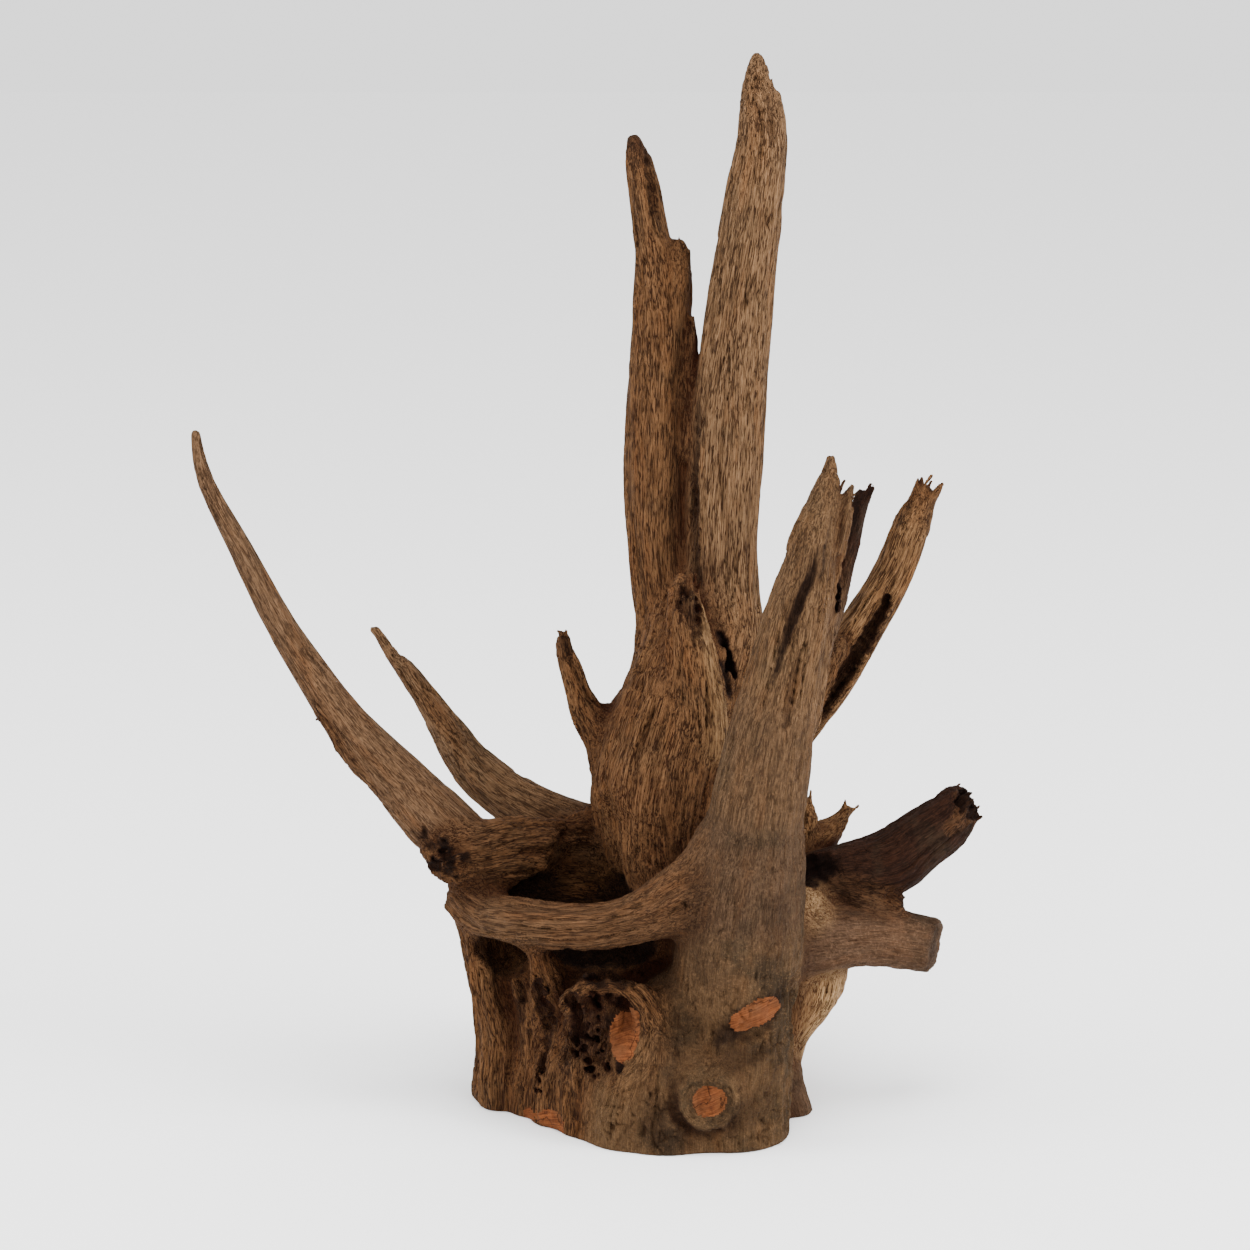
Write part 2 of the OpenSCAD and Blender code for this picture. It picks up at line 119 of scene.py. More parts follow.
# Each limb: the CAD node it belongs to, its wood, its blend radius, and its stations
# [x, y, z, radius] from the tip to the core.
LIMBS = [
    ("tall_trunk_right", SUNLIT, 5,
     [[45, 45, 444, 3.2], [45, 45, 436, 5.5], [46, 45, 424, 8], [47, 45, 410, 10],
      [43, 43, 378, 12.5], [37, 40, 330, 14], [33, 37, 280, 16], [31, 34, 230, 16],
      [31, 31, 200, 17], [26, 26, 175, 14], [20, 22, 150, 10]]),
    ("tall_trunk_right", SUNLIT, 3, [[53, 45, 428, 2.5], [52, 45, 414, 5], [48, 44, 390, 8]]),
    ("tall_trunk_left", TRUNK, 4,
     [[-6, 52, 408, 3.4], [-4.5, 52, 400, 5.5], [-2, 52, 388, 6.6], [0, 51, 374, 7],
      [3, 50, 356, 9], [5, 50, 325, 12], [5, 47, 285, 14], [4, 42, 245, 13],
      [8, 36, 200, 12], [12, 28, 170, 8]]),
    ("tall_trunk_left", TRUNK, 2,
     [[12.5, 49, 364, 3.6], [12, 49, 352, 6.5], [11, 48, 336, 7.5], [8, 46, 300, 9]]),
    ("tall_trunk_left", TRUNK, 3,
     [[17, 46, 324, 2], [17.5, 45, 314, 4], [18, 44, 298, 6], [18, 42, 280, 8]]),
    ("centre_trunk", CORE, 10,
     [[22, 32, 208, 16], [20, 28, 194, 22], [14, 18, 174, 26], [7, 10, 150, 28],
      [3, 5, 126, 27], [4, 6, 104, 20]]),
    ("broken_front_stub", CORE, 6,
     [[14, 7, 228, 4.5], [15, 4, 216, 8], [18, 0, 193, 10.5], [20, -2, 168, 12],
      [18, 0, 148, 9]]),
    # a pale sliver, its tint lightened as painted light
    ("broken_front_stub", PALE_WITH_PAINTED_LIGHT, 4,
     [[19, 1, 222, 2], [23.5, -2, 205, 2.2], [26.5, -5, 190, 2.5], [28.5, -7, 178, 3.2],
      [28, -6, 160, 4.5]]),
    ("small_twig", CORE, 9,
     [[-36, 11, 202, 3.2], [-35, 12, 196, 4], [-31, 13, 183, 5.2], [-25, 14, 168, 7],
      [-15, 17, 150, 8]]),
    ("front_horn", HORN, 5,
     [[74, -45, 293, 2], [72, -46, 280, 5.5], [67, -47, 264, 9], [64, -48, 246, 11.5],
      [59, -49, 225, 14], [51, -50, 184, 16], [46, -48, 154, 18]]),
    ("front_horn", HORN_FOOT, 6,
     [[51, -50, 184, 15], [45, -48, 148, 19], [40, -42, 108, 25], [36, -36, 70, 22]]),
    ("front_horn", SUNLIT, 3,
     [[82, -41, 272, 1.5], [79, -42, 258, 2.5], [76, -43, 240, 3.5], [71, -44, 215, 5],
      [64, -44, 185, 8]]),
    ("horn_lamella", DARK, 2.5,
     [[87, -30, 275, 2.6], [84, -31, 262, 4], [79, -33, 246, 5], [74, -37, 226, 5.5],
      [64, -42, 204, 6]]),
    ("rear_right_limb", LIMB, 8,
     [[118, 55, 255, 4.6], [113, 53, 242, 8], [106, 50, 223, 8.8], [94, 47, 202, 9.6],
      [82, 43, 184, 10.5], [60, 36, 156, 11.5], [44, 26, 132, 11], [30, 18, 116, 8]]),
    ("rear_limb_flake", TORN, 2,
     [[83, 34, 197, 2], [78, 33, 186, 5], [72, 30, 172, 5], [64, 27, 157, 4]]),
    ("long_left_branch", BRANCH, 10,
     [[-188, 0, 294, 2.3], [-184, 0, 273, 3.6], [-170, 0, 244, 5],
      [-152, 0, 207, 6.5], [-127, 0, 168, 9.5], [-105, 0, 143, 12],
      [-85, 0, 121, 14], [-62, 6, 104, 9]]),
    ("branch_splinter", TORN, 1,
     [[-137, -6, 172, 1.1], [-132, -6, 163, 2.2], [-124, -5, 152, 3.4],
      [-112, -2, 141, 4]]),
    ("left_spike", SPIKE, 9,
     [[-118, 60, 194, 1.6], [-113, 59, 186, 2.6], [-109, 58, 180, 2.8], [-106, 57, 177, 4.2],
      [-91, 53, 156, 6.5], [-76, 48, 135, 10], [-59, 42, 122, 11],
      [-38, 33, 113, 12], [-18, 22, 110, 12]]),
    ("left_torn_root", TORN, 4,
     [[-89, -11, 114, 7], [-79, -6, 112, 12], [-62, 4, 113, 11],
      [-44, 10, 113, 10], [-28, 12, 112, 9]]),
    ("left_torn_root", TORN, 3,
     [[-86, -16, 122, 3], [-78, -8, 121, 5], [-64, 0, 122, 4.5], [-50, 8, 121, 4],
      [-36, 14, 119, 4], [-26, 16, 122, 5]]),
    ("left_torn_root", STUMP, 3, [[-70, -12, 108, 4], [-56, -5, 108, 4.5], [-44, 0, 105, 4]]),
    ("bridge_root", BRIDGE, 6,
     [[-78, -4, 92, 8], [-68, -14, 88, 9], [-56, -24, 89, 10], [-40, -33, 90.5, 10],
      [-20, -40, 93, 10], [0, -44, 99, 11], [18, -46, 108, 14], [34, -44, 112, 12]]),
    ("bridge_root", BRIDGE, 7, [[0, -42, 101, 7], [14, -44, 114, 7], [26, -47, 130, 7]]),
    ("cave_pillar", STUMP, 5,
     [[-48, -28, 84, 6], [-46, -28, 74, 5], [-42, -30, 60, 8], [-38, -24, 46, 9]]),
    ("right_upper_stub", DARK, 4,
     [[131, 9, 128, 10.5], [126, 7, 123, 12], [114, 4, 115, 13], [102, 1, 107, 14],
      [85, -1, 105, 11.5], [68, -3, 103, 9], [52, -8, 96, 8]]),
    ("right_upper_stub", RAGGED, 3, [[104, -8, 92, 4], [94, -8, 95, 6], [80, -6, 99, 6]]),
    ("right_lower_stub", SAWN, 8,
     [[120, -5, 72, 12], [102, -8, 76, 12.5], [86, -12, 78, 13], [66, -16, 77, 14],
      [48, -20, 74, 9]]),
    ("pointed_flake", LIMB, 3,
     [[86, 20, 125, 1.5], [80, 18, 118, 4.5], [71, 14, 112, 8], [56, 8, 102, 8]]),
    ("pointed_flake", LIMB, 3, [[67, 8, 132, 1.5], [69, 9, 124, 4], [64, 10, 110, 7]]),
    ("left_lobe", STUMP, 8,
     [[-68, 0, 84, 14], [-65, 3, 62, 14], [-61, 4, 42, 15], [-60, 5, 20, 15],
      [-59, 6, -4, 18]]),
    ("left_lobe", STUMP, 5,
     [[-71, -8, 76, 6], [-69, -9, 56, 6], [-64, -9, 34, 7], [-64, -10, 14, 8], [-64, -6, -4, 8]]),
    # pale wood of the buttress, lightened as painted light from the right and rear
    ("right_buttress", PALEST_WITH_PAINTED_LIGHT, 8,
     [[62, -12, 90, 14], [66, -2, 70, 17], [70, 4, 53, 15], [58, 4, 30, 11],
      [50, 2, -4, 10]]),
    ("right_buttress", PALEST_WITH_PAINTED_LIGHT, 3, [[74, -8, 68, 10], [72, -8, 50, 9], [62, -8, 34, 6]]),
    ("right_foot", SAWN, 5, [[64, -15, -4, 8], [57, -11, 15, 8], [46, -4, 30, 8]]),
    ("rear_root", STUMP, 9,
     [[30, 66, -4, 12], [24, 52, 24, 16], [14, 36, 52, 19], [10, 24, 84, 14]]),
    ("rear_root", STUMP, 9, [[-36, 58, -4, 11], [-24, 44, 26, 14], [-4, 28, 54, 16]]),
    ("knot_burl", RAGGED, 5, [[-20, -38, 55, 15], [-22, -36, 40, 15], [-24, -28, 26, 13]]),
    ("knot_burl", STUMP, 3,
     [[-33, -46, 60, 5], [-24, -49, 69, 5], [-12, -50, 70, 5], [-2, -53, 62, 5.5],
      [2, -55, 50, 5.5], [-1, -56, 38, 5], [-9, -55, 30, 5]]),
    # The stump itself, as upright masses under the limbs.
    ("root_stump", STUMP, 14,
     [[5, 14, 118, 24], [6, 14, 85, 33], [6, 12, 45, 36], [4, 8, -8, 38]]),
    ("root_stump", FRONT, 12,
     [[38, -40, 82, 24], [36, -38, 44, 25], [34, -38, 16, 26], [34, -38, -8, 26]]),
    ("root_stump", FRONT, 12, [[10, -38, 52, 16], [8, -46, 30, 19], [6, -48, -8, 19]]),
    ("root_stump", STUMP, 12, [[-34, -4, 56, 22], [-34, -6, 30, 22], [-34, -4, -8, 22]]),
    ("root_stump", STUMP, 10, [[-66, 4, 98, 15], [-46, 12, 86, 19], [-16, 18, 80, 26]]),
    ("root_stump", STUMP, 10, [[44, -14, 90, 18], [48, -8, 60, 20], [44, -4, 24, 18], [42, -4, -8, 18]]),
    ("root_stump", STUMP, 5,
     [[-54, -16, 60, 4], [-50, -21, 48, 6], [-49, -20, 30, 6], [-50, -17, 12, 8], [-50, -14, -4, 8]]),
    ("root_stump", STUMP, 4,
     [[-42, -30, 56, 5], [-38, -32, 40, 5], [-40, -28, 22, 9], [-40, -24, -4, 10]]),
    ("root_stump", FRONT, 6, [[25, -54, 30, 13], [25, -52, 22, 14]]),
    ("root_stump", STUMP, 8, [[-25, -36, 30, 12], [-25, -35, 12, 13], [-24, -35, -8, 14]]),
    ("root_stump", FRONT, 3, ring_of([25, -64, 25], [0, 1, 0], 11, 4)),
    ("root_stump", FRONT, 8,
     [[0, -48, 40, 9], [-7, -48, 26, 13], [-10, -46, 10, 15], [-10, -46, -8, 16]]),
]

# Hollows carved out of the blended wood: blend radius, raggedness, how much shade is painted on the wood
# inside, and stations.
CHAMBER_R = 22
CHAMBER_Z = 84
MOUTH_R = 17
HOLLOWS = [
    (5, 0.4, 0.9, [[-50, -4, CHAMBER_Z + 4, CHAMBER_R * 0.6], [-25, -4, CHAMBER_Z, CHAMBER_R],
                   [0, -18, CHAMBER_Z + 1, CHAMBER_R * 0.6]]),
    (4, 0.4, 0.2, [[-41, -10, CHAMBER_Z + 8, 9], [-39, -16, CHAMBER_Z + 42, 10]]),
    (4, 0.4, 0, [[-30, -8, CHAMBER_Z + 12, MOUTH_R * 0.9], [-30, -16, CHAMBER_Z + 46, MOUTH_R * 0.9]]),
    (4, 0.4, 0, [[-20, -12, CHAMBER_Z + 12, MOUTH_R * 0.9], [-20, -20, CHAMBER_Z + 46, MOUTH_R * 0.8]]),
    (7, 0.6, 0, [[-28, 4, 92, 12], [-28, 4, 108, 10], [-29, 0, 124, 7]]),
    (4, 0.4, 0, [[-6, -22, CHAMBER_Z + 10, 9], [-4, -32, CHAMBER_Z + 46, 9]]),
    (3, 0.4, 0, [[6, -27, CHAMBER_Z + 14, 7], [8, -34, CHAMBER_Z + 46, 7]]),
    # gaps under the bridge
    *[(3, 0.6, dark, [[x, y, z, 6], [x, -70, z, 6]]) for x, y, z, dark in (
        (-32, -22, 76, 0.8), (-22, -24, 76, 0.8), (-12, -26, 76.5, 0.8), (-4, -28, 77, 0.7))],
    (4, 0.5, 0.8, [[-60, -4, 70, 8], [-62, -40, 67, 9]]),
    (4, 0.5, 0.6, [[-67, -14, 74, 7], [-66, -34, 72, 8]]),
    (4, 0.5, 0.9, [[-60, -4, 70, 8], [-40, -4, 82, 12]]),
    # the slit behind the broken stub
    (1, 0.7, 1, [[29, -6, 205, 0.9], [31, -6, 197, 1.9], [33.5, -7, 188, 2.2], [35.5, -8, 179, 1]]),
    (1, 0.7, 1, [[29, 3, 205, 1.2], [31, 3, 197, 2.3], [33.5, 3, 188, 2.6], [35.5, 2, 179, 1.3]]),
    (1, 0.4, 1, [[30, 11, 205, 1.4], [32, 11, 197, 2.6], [34, 10, 188, 3], [35, 9, 180, 1.6]]),
    # the valley between the burl and the knot
    (7, 0.4, 0.5, [[-3, -61, 82, 9], [7, -64, 69, 11], [14, -66, 57, 10], [21, -71, 46, 7]]),
    # the groove round the knot
    (2, 0.9, 0.5, ring_of([25, -67.5, 25], [0, 1, 0.1], 15.5, 2.0)),
    # the rotten pit of the burl, a dish with crevices
    (3, 1.2, 0.3, [[-27, -56, 59, 7], [-27, -57, 47, 8], [-23, -58, 35, 8]]),
    (1.5, 1.2, 0.55, [[-33, -50, 64, 2], [-29, -47, 57, 2.6], [-31, -47, 49, 2.2], [-28, -47, 42, 1.6]]),
    (1.5, 1.2, 0.55, [[-24, -50, 67, 1.8], [-21, -47, 60, 2.4], [-24, -47, 53, 2], [-21, -47, 47, 1.6]]),
    (1.5, 1.2, 0.55, [[-33, -48, 40, 1.6], [-27, -46, 36, 2.4], [-21, -47, 30, 2], [-15, -52, 27, 1.6]]),
    (1.5, 1.2, 0.55, [[-27, -48, 48, 1.6], [-20, -46, 41, 2.4], [-15, -50, 34, 2]]),
    (1.5, 1.2, 0.55, [[-17, -50, 66, 1.4], [-13, -50, 62, 2], [-8, -53, 64, 1.4]]),
    # the moat round the oval heartwood, with painted shade
    (1, 0.5, 1, [[-16, -54, 56, 2.2], [-17, -56, 49, 2.2], [-16, -56, 42, 2.2], [-12, -58, 36, 1.8]]),
    (1, 0.5, 0.9, [[-16, -54, 56, 2], [-12, -56, 60, 1.8], [-5, -57, 59, 1.5]]),
    # folds between the left lobe, the pillar ridge and the burl
    (3, 1.0, 0.6, [[-57, -24, 62, 5], [-57, -24, 44, 3.5], [-57, -26, 24, 3.5], [-57, -26, 8, 2.5]]),
    (2.5, 1.2, 0.6, [[-47, -34, 62, 3.5], [-44, -35, 48, 3], [-45, -32, 30, 2.2], [-45, -32, 14, 1.5]]),
    (2.5, 1.2, 0.7, [[-36, -48, 50, 2.5], [-38, -46, 36, 2.5], [-36, -46, 22, 2.2], [-33, -48, 10, 2]]),
    (2, 1.0, 0.5, [[-67, -22, 60, 2.5], [-69, -20, 44, 2], [-67, -22, 26, 2], [-68, -20, 10, 1.5]]),
    (1.5, 1.0, 0.8, [[-64, -24, 30, 1.2], [-60, -26, 38, 2], [-54, -28, 42, 2], [-50, -30, 36, 1.2]]),
    # cavity under the upper stub, with painted shade
    (3, 0.8, 1, [[72, -28, 118, 6], [76, -18, 112, 8], [62, -8, 108, 8]]),
    # torn end of the left root
    (1.5, 1.8, 0.9, [[-98, -14, 124, 2.5], [-88, -18, 119, 2.5], [-82, -20, 110, 2], [-76, -20, 104, 1.5]]),
    (1.5, 1.8, 0.9, [[-92, -20, 126, 1.6], [-82, -20, 119, 2.2], [-74, -18, 114, 1.8]]),
    (1.5, 1.6, 0.9, [[-96, -12, 112, 2], [-88, -18, 111, 2.4], [-82, -18, 103, 1.6]]),
    # open grain of the tall trunks
    (1, 0.8, 0.5, [[-1.5, 49.5, 404, 0.8], [1.5, 47.5, 393, 1.5], [3.5, 46, 380, 1.2], [5, 45, 372, 0.6]]),
    (0.8, 0.8, 0.8, [[-1, 44, 412, 2.8], [-1, 60, 412, 2.8]]),
    (2.5, 0.6, 0.7, [[18, 32, 322, 2], [17, 29, 290, 4], [17, 25, 255, 4.5], [19, 20, 225, 3.5]]),
    (1, 0.5, 0.35, [[49.5, 40, 438, 1], [50.5, 39, 430, 1.2], [51, 37.2, 418, 1], [50.5, 35, 404, 0.6]]),
    # furrows of the horn
    (1.5, 0.3, 0.9, [[70, -58, 264, 0.8], [66, -59, 250, 1.5], [60, -61, 236, 1.6], [55, -63, 222, 1.2],
                     [50, -65, 205, 0.8]]),
    (1.5, 0.3, 0.9, [[75, -54, 274, 1], [73, -56, 262, 1.4], [70, -59, 246, 0.8]]),
    (1.5, 0.4, 1, [[84, -36, 270, 1.6], [80, -41, 252, 2.2], [76, -44, 236, 2], [73, -44, 220, 1.2]]),
    (1.5, 0.3, 0.5, [[61, -64, 216, 0.6], [58, -65, 200, 1.3], [55, -66, 186, 0.7]]),
    # the long slot down the rear limb
    (1.5, 0.8, 0.75, [[103, 42, 213, 1.5], [95, 39, 198, 3.6], [85, 35, 182, 4.2], [75, 30, 166, 4],
                   [64, 24, 150, 2.2]]),
    # hollow heart of the broken stubs
    (2, 1.2, 0.8, [[146, 8, 138, 7], [134, 6, 130, 6.5], [126, 6, 124, 3]]),
    (1.5, 1.2, 0.6, [[12, -3, 231, 2.5], [16, -2, 223, 4.2], [19, -4, 215, 3], [20, -8, 206, 1.2]]),
    (1.5, 0.6, 0.6, [[-36, 6, 206, 2], [-34, 10, 198, 1.5]]),
]

# Dark patches on the face of the wood, partly stains and partly painted shade: how dark, and stations.
PAINTED_SHADE_AND_STAINS = [
    # painted shade along the cracks of the trunk tips
    (0.4, [[-6, 48, 411, 3], [-1, 49, 402, 1.5], [3, 47, 388, 1]]),
    (0.3, [[50, 41, 438, 3], [53, 40, 428, 3.5]]),
    # painted shade in the cave
    (1, [[-26, -4, 82, 23], [-28, -2, 96, 16]]),
    (0.55, [[15, 0, 229, 3], [19, -2, 221, 3], [22, -5, 212, 2.5]]),
    (0.5, [[124, -10, 84, 6], [124, -12, 66, 7]]),
    # painted shade on the downward facet under the sawn strip
    (0.85, [[28, -62, 49, 3], [42, -65, 57, 8], [58, -64, 66, 9]]),
    (0.5, [[34, -66, 44, 8], [48, -66, 44, 9]]),
    (0.4, [[36, -66, 16, 9], [50, -62, 22, 8], [54, -60, 36, 6]]),
    (0.4, [[4, -64, 20, 7], [2, -66, 10, 6], [14, -66, 6, 6]]),
    (0.35, [[8, -62, 46, 8], [10, -64, 34, 6]]),
    (0.3, [[64, -58, 276, 6], [60, -60, 256, 6], [54, -62, 236, 5]]),
    (0.25, [[50, -66, 200, 5], [44, -68, 172, 5], [38, -68, 150, 4]]),
    (0.35, [[20, -60, 116, 6], [18, -62, 96, 7], [20, -64, 78, 8]]),
    (0.35, [[54, -66, 108, 7], [54, -64, 92, 8], [50, -64, 80, 7]]),
]

# Wood left standing in the cave: the face of the trunk runs on down into the bowl.
TONGUE = [
    ("centre_trunk", CORE, 9, [[4, 4, 140, 22], [5, -6, 118, 17], [6, -14, 100, 13], [6, -20, 84, 11]]),
]

# Saw cuts: a point on the plane, the way it faces, and the ball it acts in.
SAW_CUTS = [
    ([123, -5, 73], [0.93, -0.34, -0.12], [123, -5, 73], 30),
    ([42, -62.5, 60], [0.22, -0.93, -0.30], [43, -64, 61], 17),
    ([60.5, -60, 50], [0.99, 0.12, 0.02], [66, -64, 50], 34),
    ([69, -18, 4], [0.94, -0.2, 0.28], [69, -18, 4], 22),
]

# Torn ends: node, wood, tip, way out, ring radius, count, longest fibre.
FRAYED = [
    ("tall_trunk_right", SUNLIT, [49, 45, 430], [0.05, 0, 1], 5, 9, 5),
    ("tall_trunk_left", TRUNK, [13, 49, 356], [0.05, 0, 1], 4, 6, 10),
    ("tall_trunk_left", TRUNK, [18, 44, 322], [0.1, 0, 1], 2.5, 6, 12),
    ("tall_trunk_left", DARK, [-5, 51, 404], [-0.2, 0, 1], 2.5, 4, 6),
    ("broken_front_stub", TORN, [16, 5, 218], [0, 0.15, 1], 6.5, 18, 14),
    ("small_twig", TORN, [-36, 11, 202], [-0.2, 0, 1], 1.8, 6, 6),
    ("front_horn", HORN, [76, -44, 268], [0.25, 0, 1], 5, 12, 17),
    ("horn_lamella", DARK, [86, -31, 268], [0.35, 0, 1], 3, 7, 12),
    ("rear_right_limb", TRUNK, [117, 54, 251], [0.4, 0.1, 1], 5.5, 14, 13),
    ("left_spike", SPIKE, [-116, 59, 190], [-0.5, 0.1, 0.8], 1.2, 3, 6),
    ("branch_splinter", TORN, [-135, -6, 168], [-0.5, 0, 0.8], 1.2, 4, 9),
    ("right_upper_stub", RAGGED, [131, 8, 127], [0.75, 0.1, 0.55], 9.5, 22, 10),
    ("right_upper_stub", RAGGED, [100, -7, 94], [0.8, -0.1, -0.4], 4, 8, 9),
    ("pointed_flake", LIMB, [83, 19, 122], [0.7, 0.1, 0.7], 2, 5, 8),
    ("pointed_flake", LIMB, [67, 9, 128], [-0.1, 0, 1], 2.5, 5, 8),
    ("rear_limb_flake", TORN, [80, 33, 190], [0.4, 0, 0.9], 3.5, 6, 9),
    ("left_torn_root", TORN, [-85, -12, 116], [-0.7, -0.6, 0.1], 9, 20, 7),
    ("knot_burl", RAGGED, [-22, -46, 64], [-0.1, -0.7, 0.6], 9, 10, 7),
]


def fray_fibres():
    """Thin broken fibres standing round the torn ends, as extra limbs."""
    dice = np.random.default_rng(21)
    out = []
    for node, kind, tip, way, ring, count, longest in FRAYED:
        way = np.array(way, float) / np.linalg.norm(way)
        side = np.cross(way, [0.3, 0.9, 0.2])
        side /= np.linalg.norm(side)
        up = np.cross(way, side)
        for i in range(count):
            turn = 2 * math.pi * (i + dice.uniform(-0.3, 0.3)) / count
            out_by = ring * dice.uniform(0.45, 1.0)
            foot = np.array(tip) + out_by * (math.cos(turn) * side + math.sin(turn) * up)
            reach = longest * dice.uniform(0.25, 1.0)
            lean = dice.normal(size=3) * 0.12
            end = foot + way * reach + lean * reach
            start = foot - way * longest * 0.7
            thick = dice.uniform(1.2, 2.2) * min(1.0, 0.45 + ring / 9)
            out.append((node, kind, 1.0, [[*end, 0.85], [*(foot + way * reach * 0.3), thick * 0.8],
                                          [*start, thick]]))
    return out


FIBRES = fray_fibres()
ALL_LIMBS = LIMBS + TONGUE + FIBRES

# Heartwood laid bare: node and the stations of the wood it takes over.
HEARTS = [
    ("heartwood_oval", [[-9, -54, 55, 6], [-10, -54, 49, 7], [-10, -54, 43, 6]]),
    ("round_knot", [[25, -66, 24.5, 7.2], [26, -50, 24.5, 5]]),
    ("sawn_heartwood", [[38, -62, 58, 4.5], [43, -63, 60, 6], [50, -62, 63, 6]]),
    ("base_heartwood", [[-48, -20, 2, 6], [-40, -30, 5, 7], [-34, -36, 4, 7]]),
]
PIECES = sorted({limb[0] for limb in LIMBS} | {heart[0] for heart in HEARTS})

# ---------------------------------------------------------------- grid of the wood

VOXEL = 0.8
# How far outside its own skin each sort of route is worked out.
REACH = 12.0
HOLLOW_REACH = 8.0
SHADE_AND_STAIN_REACH = 4.0
FIBRE_REACH = 4.0
HEART_REACH = 2.0
SAW_REACH = 4.0
# How far inside its ball a saw cut starts to fade, and how round its edge is.
SAW_FADE = 6
SAW_ROUNDING = 1.5
GRID_LOW = np.array([-200.0, -84.0, -6.0])
GRID_HIGH = np.array([156.0, 92.0, 462.0])
GRID_SIZE = np.ceil((GRID_HIGH - GRID_LOW) / VOXEL).astype(int) + 1
CURVE_STEPS = 3


def curve(stations):
    """Catmull-Rom curve through the stations, with the radius along it."""
    p = np.array(stations, float)
    if len(p) == 2:
        return p
    out = []
    for i in range(len(p) - 1):
        a, b, c, d = p[max(i - 1, 0)], p[i], p[i + 1], p[min(i + 2, len(p) - 1)]
        for s in range(CURVE_STEPS):
            t = s / CURVE_STEPS
            out.append((2 * b + (c - a) * t + (2 * a - 5 * b + 4 * c - d) * t ** 2
                        + (3 * b - a - 3 * c + d) * t ** 3) / 2)
    out.append(p[-1])
    return np.array(out)


def grid_points(where):
    """Coordinates of the points in a block of the grid, one array for each axis."""
    x, y, z = ((GRID_LOW[a] + VOXEL * np.arange(where[a].start, where[a].stop)).astype(np.float32)
               for a in range(3))
    return x[:, None, None], y[None, :, None], z[None, None, :]


def block_of(low, high):
    """Index range of the grid that covers a box, and the coordinates of its points."""
    first = np.clip(np.floor((low - GRID_LOW) / VOXEL).astype(int), 0, GRID_SIZE - 1)
    last = np.clip(np.ceil((high - GRID_LOW) / VOXEL).astype(int) + 1, 1, GRID_SIZE)
    where = tuple(slice(first[a], last[a]) for a in range(3))
    return where, grid_points(where)


def cone_distance(points, a, b):
    """Distance to the skin of the balls between two stations."""
    x, y, z = points
    ab = (b - a)[:3]
    length2 = float(ab @ ab) + 1e-9
    t = ((x - a[0]) * ab[0] + (y - a[1]) * ab[1] + (z - a[2]) * ab[2]) / np.float32(length2)
    t = np.clip(t, 0, 1)
    dx = x - a[0] - t * ab[0]
    dy = y - a[1] - t * ab[1]
    dz = z - a[2] - t * ab[2]
    return np.sqrt(dx * dx + dy * dy + dz * dz) - (a[3] + t * (b[3] - a[3]))


def limb_field(stations, reach):
    """Distance field of one limb on its own block of the grid."""
    q = curve(stations)
    rad = q[:, 3:4] + reach
    where, _ = block_of((q[:, :3] - rad).min(0), (q[:, :3] + rad).max(0))
    size = [s.stop - s.start for s in where]
    field = np.full(size, reach, np.float32)
    for a, b in zip(q[:-1], q[1:]):
        low = np.minimum(a[:3] - a[3], b[:3] - b[3]) - reach
        high = np.maximum(a[:3] + a[3], b[:3] + b[3]) + reach
        part, points = block_of(low, high)
        local = tuple(slice(p.start - w.start, p.stop - w.start) for p, w in zip(part, where))
        field[local] = np.minimum(field[local], cone_distance(points, a, b).astype(np.float32))
    return where, field


def smooth_min(a, b, k):
    h = np.maximum(k - np.abs(a - b), 0) / k
    return np.minimum(a, b) - h * h * k / 4


def smooth_max(a, b, k):
    return -smooth_min(-a, -b, k)


def ripple(where):
    """Uneven waves, about -1 to 1, over a block of the grid."""
    x, y, z = grid_points(where)
    bend = np.sin(0.55 * z + 0.8 * np.sin(0.4 * x))
    return (np.sin(0.62 * x + 1.4 * bend) * np.sin(0.71 * z + 1.1 * np.sin(0.5 * y))
            + 0.6 * np.sin(1.3 * x + 0.9 * z) * np.sin(1.2 * y - 0.8 * z + bend)).astype(np.float32)


